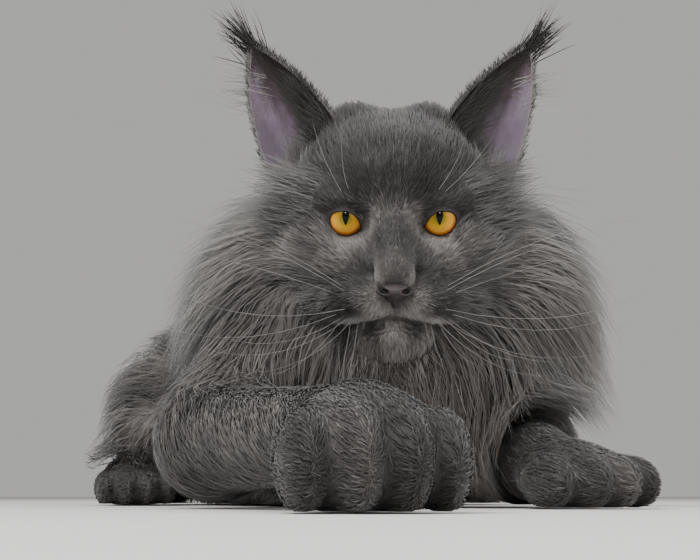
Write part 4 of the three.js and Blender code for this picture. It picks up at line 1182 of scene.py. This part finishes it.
# Hair of the ears, and hair of the head that needs a heading of its own. It grows on a stretch of the ear,
# as shares up it, s, and across it, t, or in a box of the head, as side, forward and up.
earHair = {
    "back": {"count": 1800, "s": (0, 1), "length": 7, "width": 1.0, "tone": 0.26, "spread": 0.1, "rings": 2,
             "turned": -1},
    "inner rim": {"count": 420, "s": (0.15, 1), "t": (0, 0), "heading": (-0.35, 0.1, 1.0), "length": 5.5,
                  "tone": 0.55, "spread": 0.2, "rings": 2},
    "outer rim": {"count": 420, "s": (0.0, 0.95), "t": (1, 1), "heading": (0.7, 0.1, 0.9), "length": 5,
                  "tone": 0.6, "spread": 0.25, "rings": 2},
    "inside": {"count": 380, "s": (0.03, 0.5), "t": (0.03, 0.3), "heading": (0.75, 0.35, 0.9), "length": 22,
               "tone": 0.16, "spread": 0.18},
    "pouch": {"count": 260, "s": (0.0, 0.14), "t": (0.3, 1), "heading": (0.1, 0.3, 1.0), "length": 15,
              "tone": 0.42, "spread": 0.22},
    "wisps": {"count": 46, "s": (0.55, 0.78), "t": (0.55, 0.95), "heading": (1.0, 0.45, 0.22), "length": 27,
              "width": 0.3, "tone": 0.7, "spread": 0.16},
    "foot": {"count": 800, "box": ((43, 57), (-26, -8), (-12, 26)), "heading": (1.0, -0.1, 0.22),
             "length": 34, "width": 0.6, "tone": 0.42, "spread": 0.12},
    "temple": {"count": 700, "box": ((40, 52), (-18, -2), (-6, 30)), "heading": (1.0, -0.3, 0.25),
               "length": 16, "width": 0.6, "tone": 0.3, "spread": 0.12},
    "muzzle side": {"count": 420, "box": ((32, 44), (6, 26), (-54, -32)), "heading": (1.0, -0.35, -0.3),
                    "length": 17, "width": 0.55, "tone": 0.22, "spread": 0.12},
    "tip": {"count": 110, "s": (0.84, 1), "heading": (0.75, 0.0, 1.0), "length": 25, "width": 0.6,
            "tone": 0.1, "spread": 0.2},
}
plainHair = {"s": (0, 0), "t": (0, 1), "box": None, "heading": None, "width": 0.5, "rings": 3, "turned": 1}


def earTufts(rings):
    found = {key: [] for key in ("paths", "outs", "width", "tone", "uv")}
    kinds = [{**plainHair, **kind} for kind in earHair.values()]
    for side in sides:
        surface, face = ears[side]["surface"], ears[side]["face"]
        rise = unit(np.gradient(surface, axis=0))
        last = np.array(surface.shape[:2]) - 1.01
        for kind in kinds:
            if kind["rings"] != rings:
                continue
            count = kind["count"]
            s, t = dice.uniform(*kind["s"], count), dice.uniform(*kind["t"], count)
            row, column = np.floor(s * last[0]).astype(int), np.floor(t * last[1]).astype(int)
            part, aside = (s * last[0] - row)[:, None], (t * last[1] - column)[:, None]
            out = face[row, column] * kind["turned"]
            lower = surface[row, column] * (1 - aside) + surface[row, column + 1] * aside
            upper = surface[row + 1, column] * (1 - aside) + surface[row + 1, column + 1] * aside
            root = lower * (1 - part) + upper * part + out * 1.1
            if kind["box"]:
                spots = np.stack([dice.uniform(*reach, count) for reach in kind["box"]], 1)
                root = onHead(0, 0, 0) + spots * [side, 1, 1] @ headAxes
                root = settled(headForm, root, depth=-3.0)
                out = unit(gradient(headForm, root)[1])
            if kind["heading"]:
                heading = np.broadcast_to((kind["heading"] * point(side, 1, 1)) @ headAxes, root.shape)
            else:
                heading = rise[row, column] + out * 0.14
            heading = unit(unit(heading) + dice.normal(0, kind["spread"], (count, 3)))
            length = kind["length"] * dice.uniform(0.6, 1.2, count)[:, None]
            curl = dice.normal(0, 0.10, (count, 3)) + point(side * 0.1, 0, 0.04)
            path = [root + (heading * share + curl * share ** 2) * length for share in ringShares[rings]]
            found["paths"].append(np.stack(path, 1))
            found["outs"].append(np.repeat(out[:, None], rings + 1, 1))
            found["width"].append(kind["width"] * dice.uniform(0.7, 1.2, count))
            found["tone"].append(kind["tone"] + dice.normal(0, 0.04, count))
            found["uv"].append(np.stack([0.25 + side * 0.24 + (t - 0.5) * 0.2, 0.02 + s * 0.2], 1))
    return [np.concatenate(rows) for rows in found.values()]


for name, rings in (("ear_coat", 2), ("ear_tufts", 3)):
    paths, outs, width, tone, uv = earTufts(rings)
    tuftMesh(name, paths, outs, width, width * flatness, tone, np.full(len(tone), 0.2), uv)

# Whiskers: from the root on the pad or the brow, as side, forward, up, to the tip in x, y, z.
whiskers = [
    ((27, 33, -33), (129, -82, 172)), ((25, 35, -35), (122, -94, 152)), ((28, 32, -36), (118, -84, 135)),
    ((24, 36, -38), (124, -104, 119)), ((28, 32, -40), (131, -86, 103)), ((24, 35, -42), (112, -104, 88)),
    ((28, 32, -44), (94, -98, 90)), ((22, 36, -44), (84, -112, 76)), ((24, 34, -48), (44, -112, 74)),
    ((20, 35, -49), (30, -114, 72)), ((17, 37, -49), (22, -116, 80)), ((29, 31, -48), (62, -104, 78)),
    ((30, 9, 20), (56, -100, 206)), ((26, 10, 21), (42, -108, 210)),
]


def growWhiskers():
    paths = []
    shares = np.array(ringShares[7])[:, None]
    for side in sides:
        for root, tip in whiskers:
            start = settled(headForm, onHead(side * root[0], *root[1:])[None], depth=-1.5)
            outward = unit(gradient(headForm, start)[1])
            end = tip * point(side, 1, 1) + dice.normal(0, 7, 3)
            bend = start + outward * np.linalg.norm(end - start) * 0.3 + (end - start) * 0.4
            paths.append(start * (1 - shares) ** 2 + bend * 2 * shares * (1 - shares) + end * shares ** 2)
    paths = np.stack(paths)
    outs = np.broadcast_to(headForward, paths.shape)
    width, thickness, tone, warm = [np.full(len(paths), value) for value in (0.3, 0.25, 0.62, 0.1)]
    tuftMesh("whiskers", paths, outs, width, thickness, tone, warm, np.full((len(paths), 2), 0.01))


growWhiskers()
print("ear hair and whiskers ready")


# Floor and light
paleGrey = (0.62, 0.61, 0.60, 1)
bpy.ops.mesh.primitive_plane_add(size=12, location=(0, 2, 0))
floor = bpy.context.object
floor.name = "floor"
floor.data.materials.append(newMaterial("pale floor", Base_Color=paleGrey, Roughness=0.8)[0])

# Each lamp: its place in metres, its size and its power in watts. All of them face the cat.
lights = {
    "key": ((-0.8, -1.3, 1.5), 1.0, 50),
    "fill": ((1.5, -1.2, 1.0), 1.4, 22),
    "top": ((0.1, 0.5, 1.9), 1.2, 15),
    "front": ((-0.05, -1.7, 0.95), 0.15, 4.5),
}
litSpot = (0, -0.05, 0.15)
for name, (place, size, power) in lights.items():
    lamp = bpy.data.lights.new(name, "AREA")
    lamp.size = size
    lamp.energy = power
    holder = bpy.data.objects.new(name, lamp)
    holder.location = place
    holder.rotation_euler = (Vector(litSpot) - Vector(place)).to_track_quat("-Z", "Y").to_euler()
    bpy.context.collection.objects.link(holder)
world = bpy.data.worlds.new("studio")
world.use_nodes = True
backdrop = world.node_tree.nodes["Background"].inputs
backdrop["Color"].default_value = paleGrey
backdrop["Strength"].default_value = 0.75
bpy.context.scene.world = world
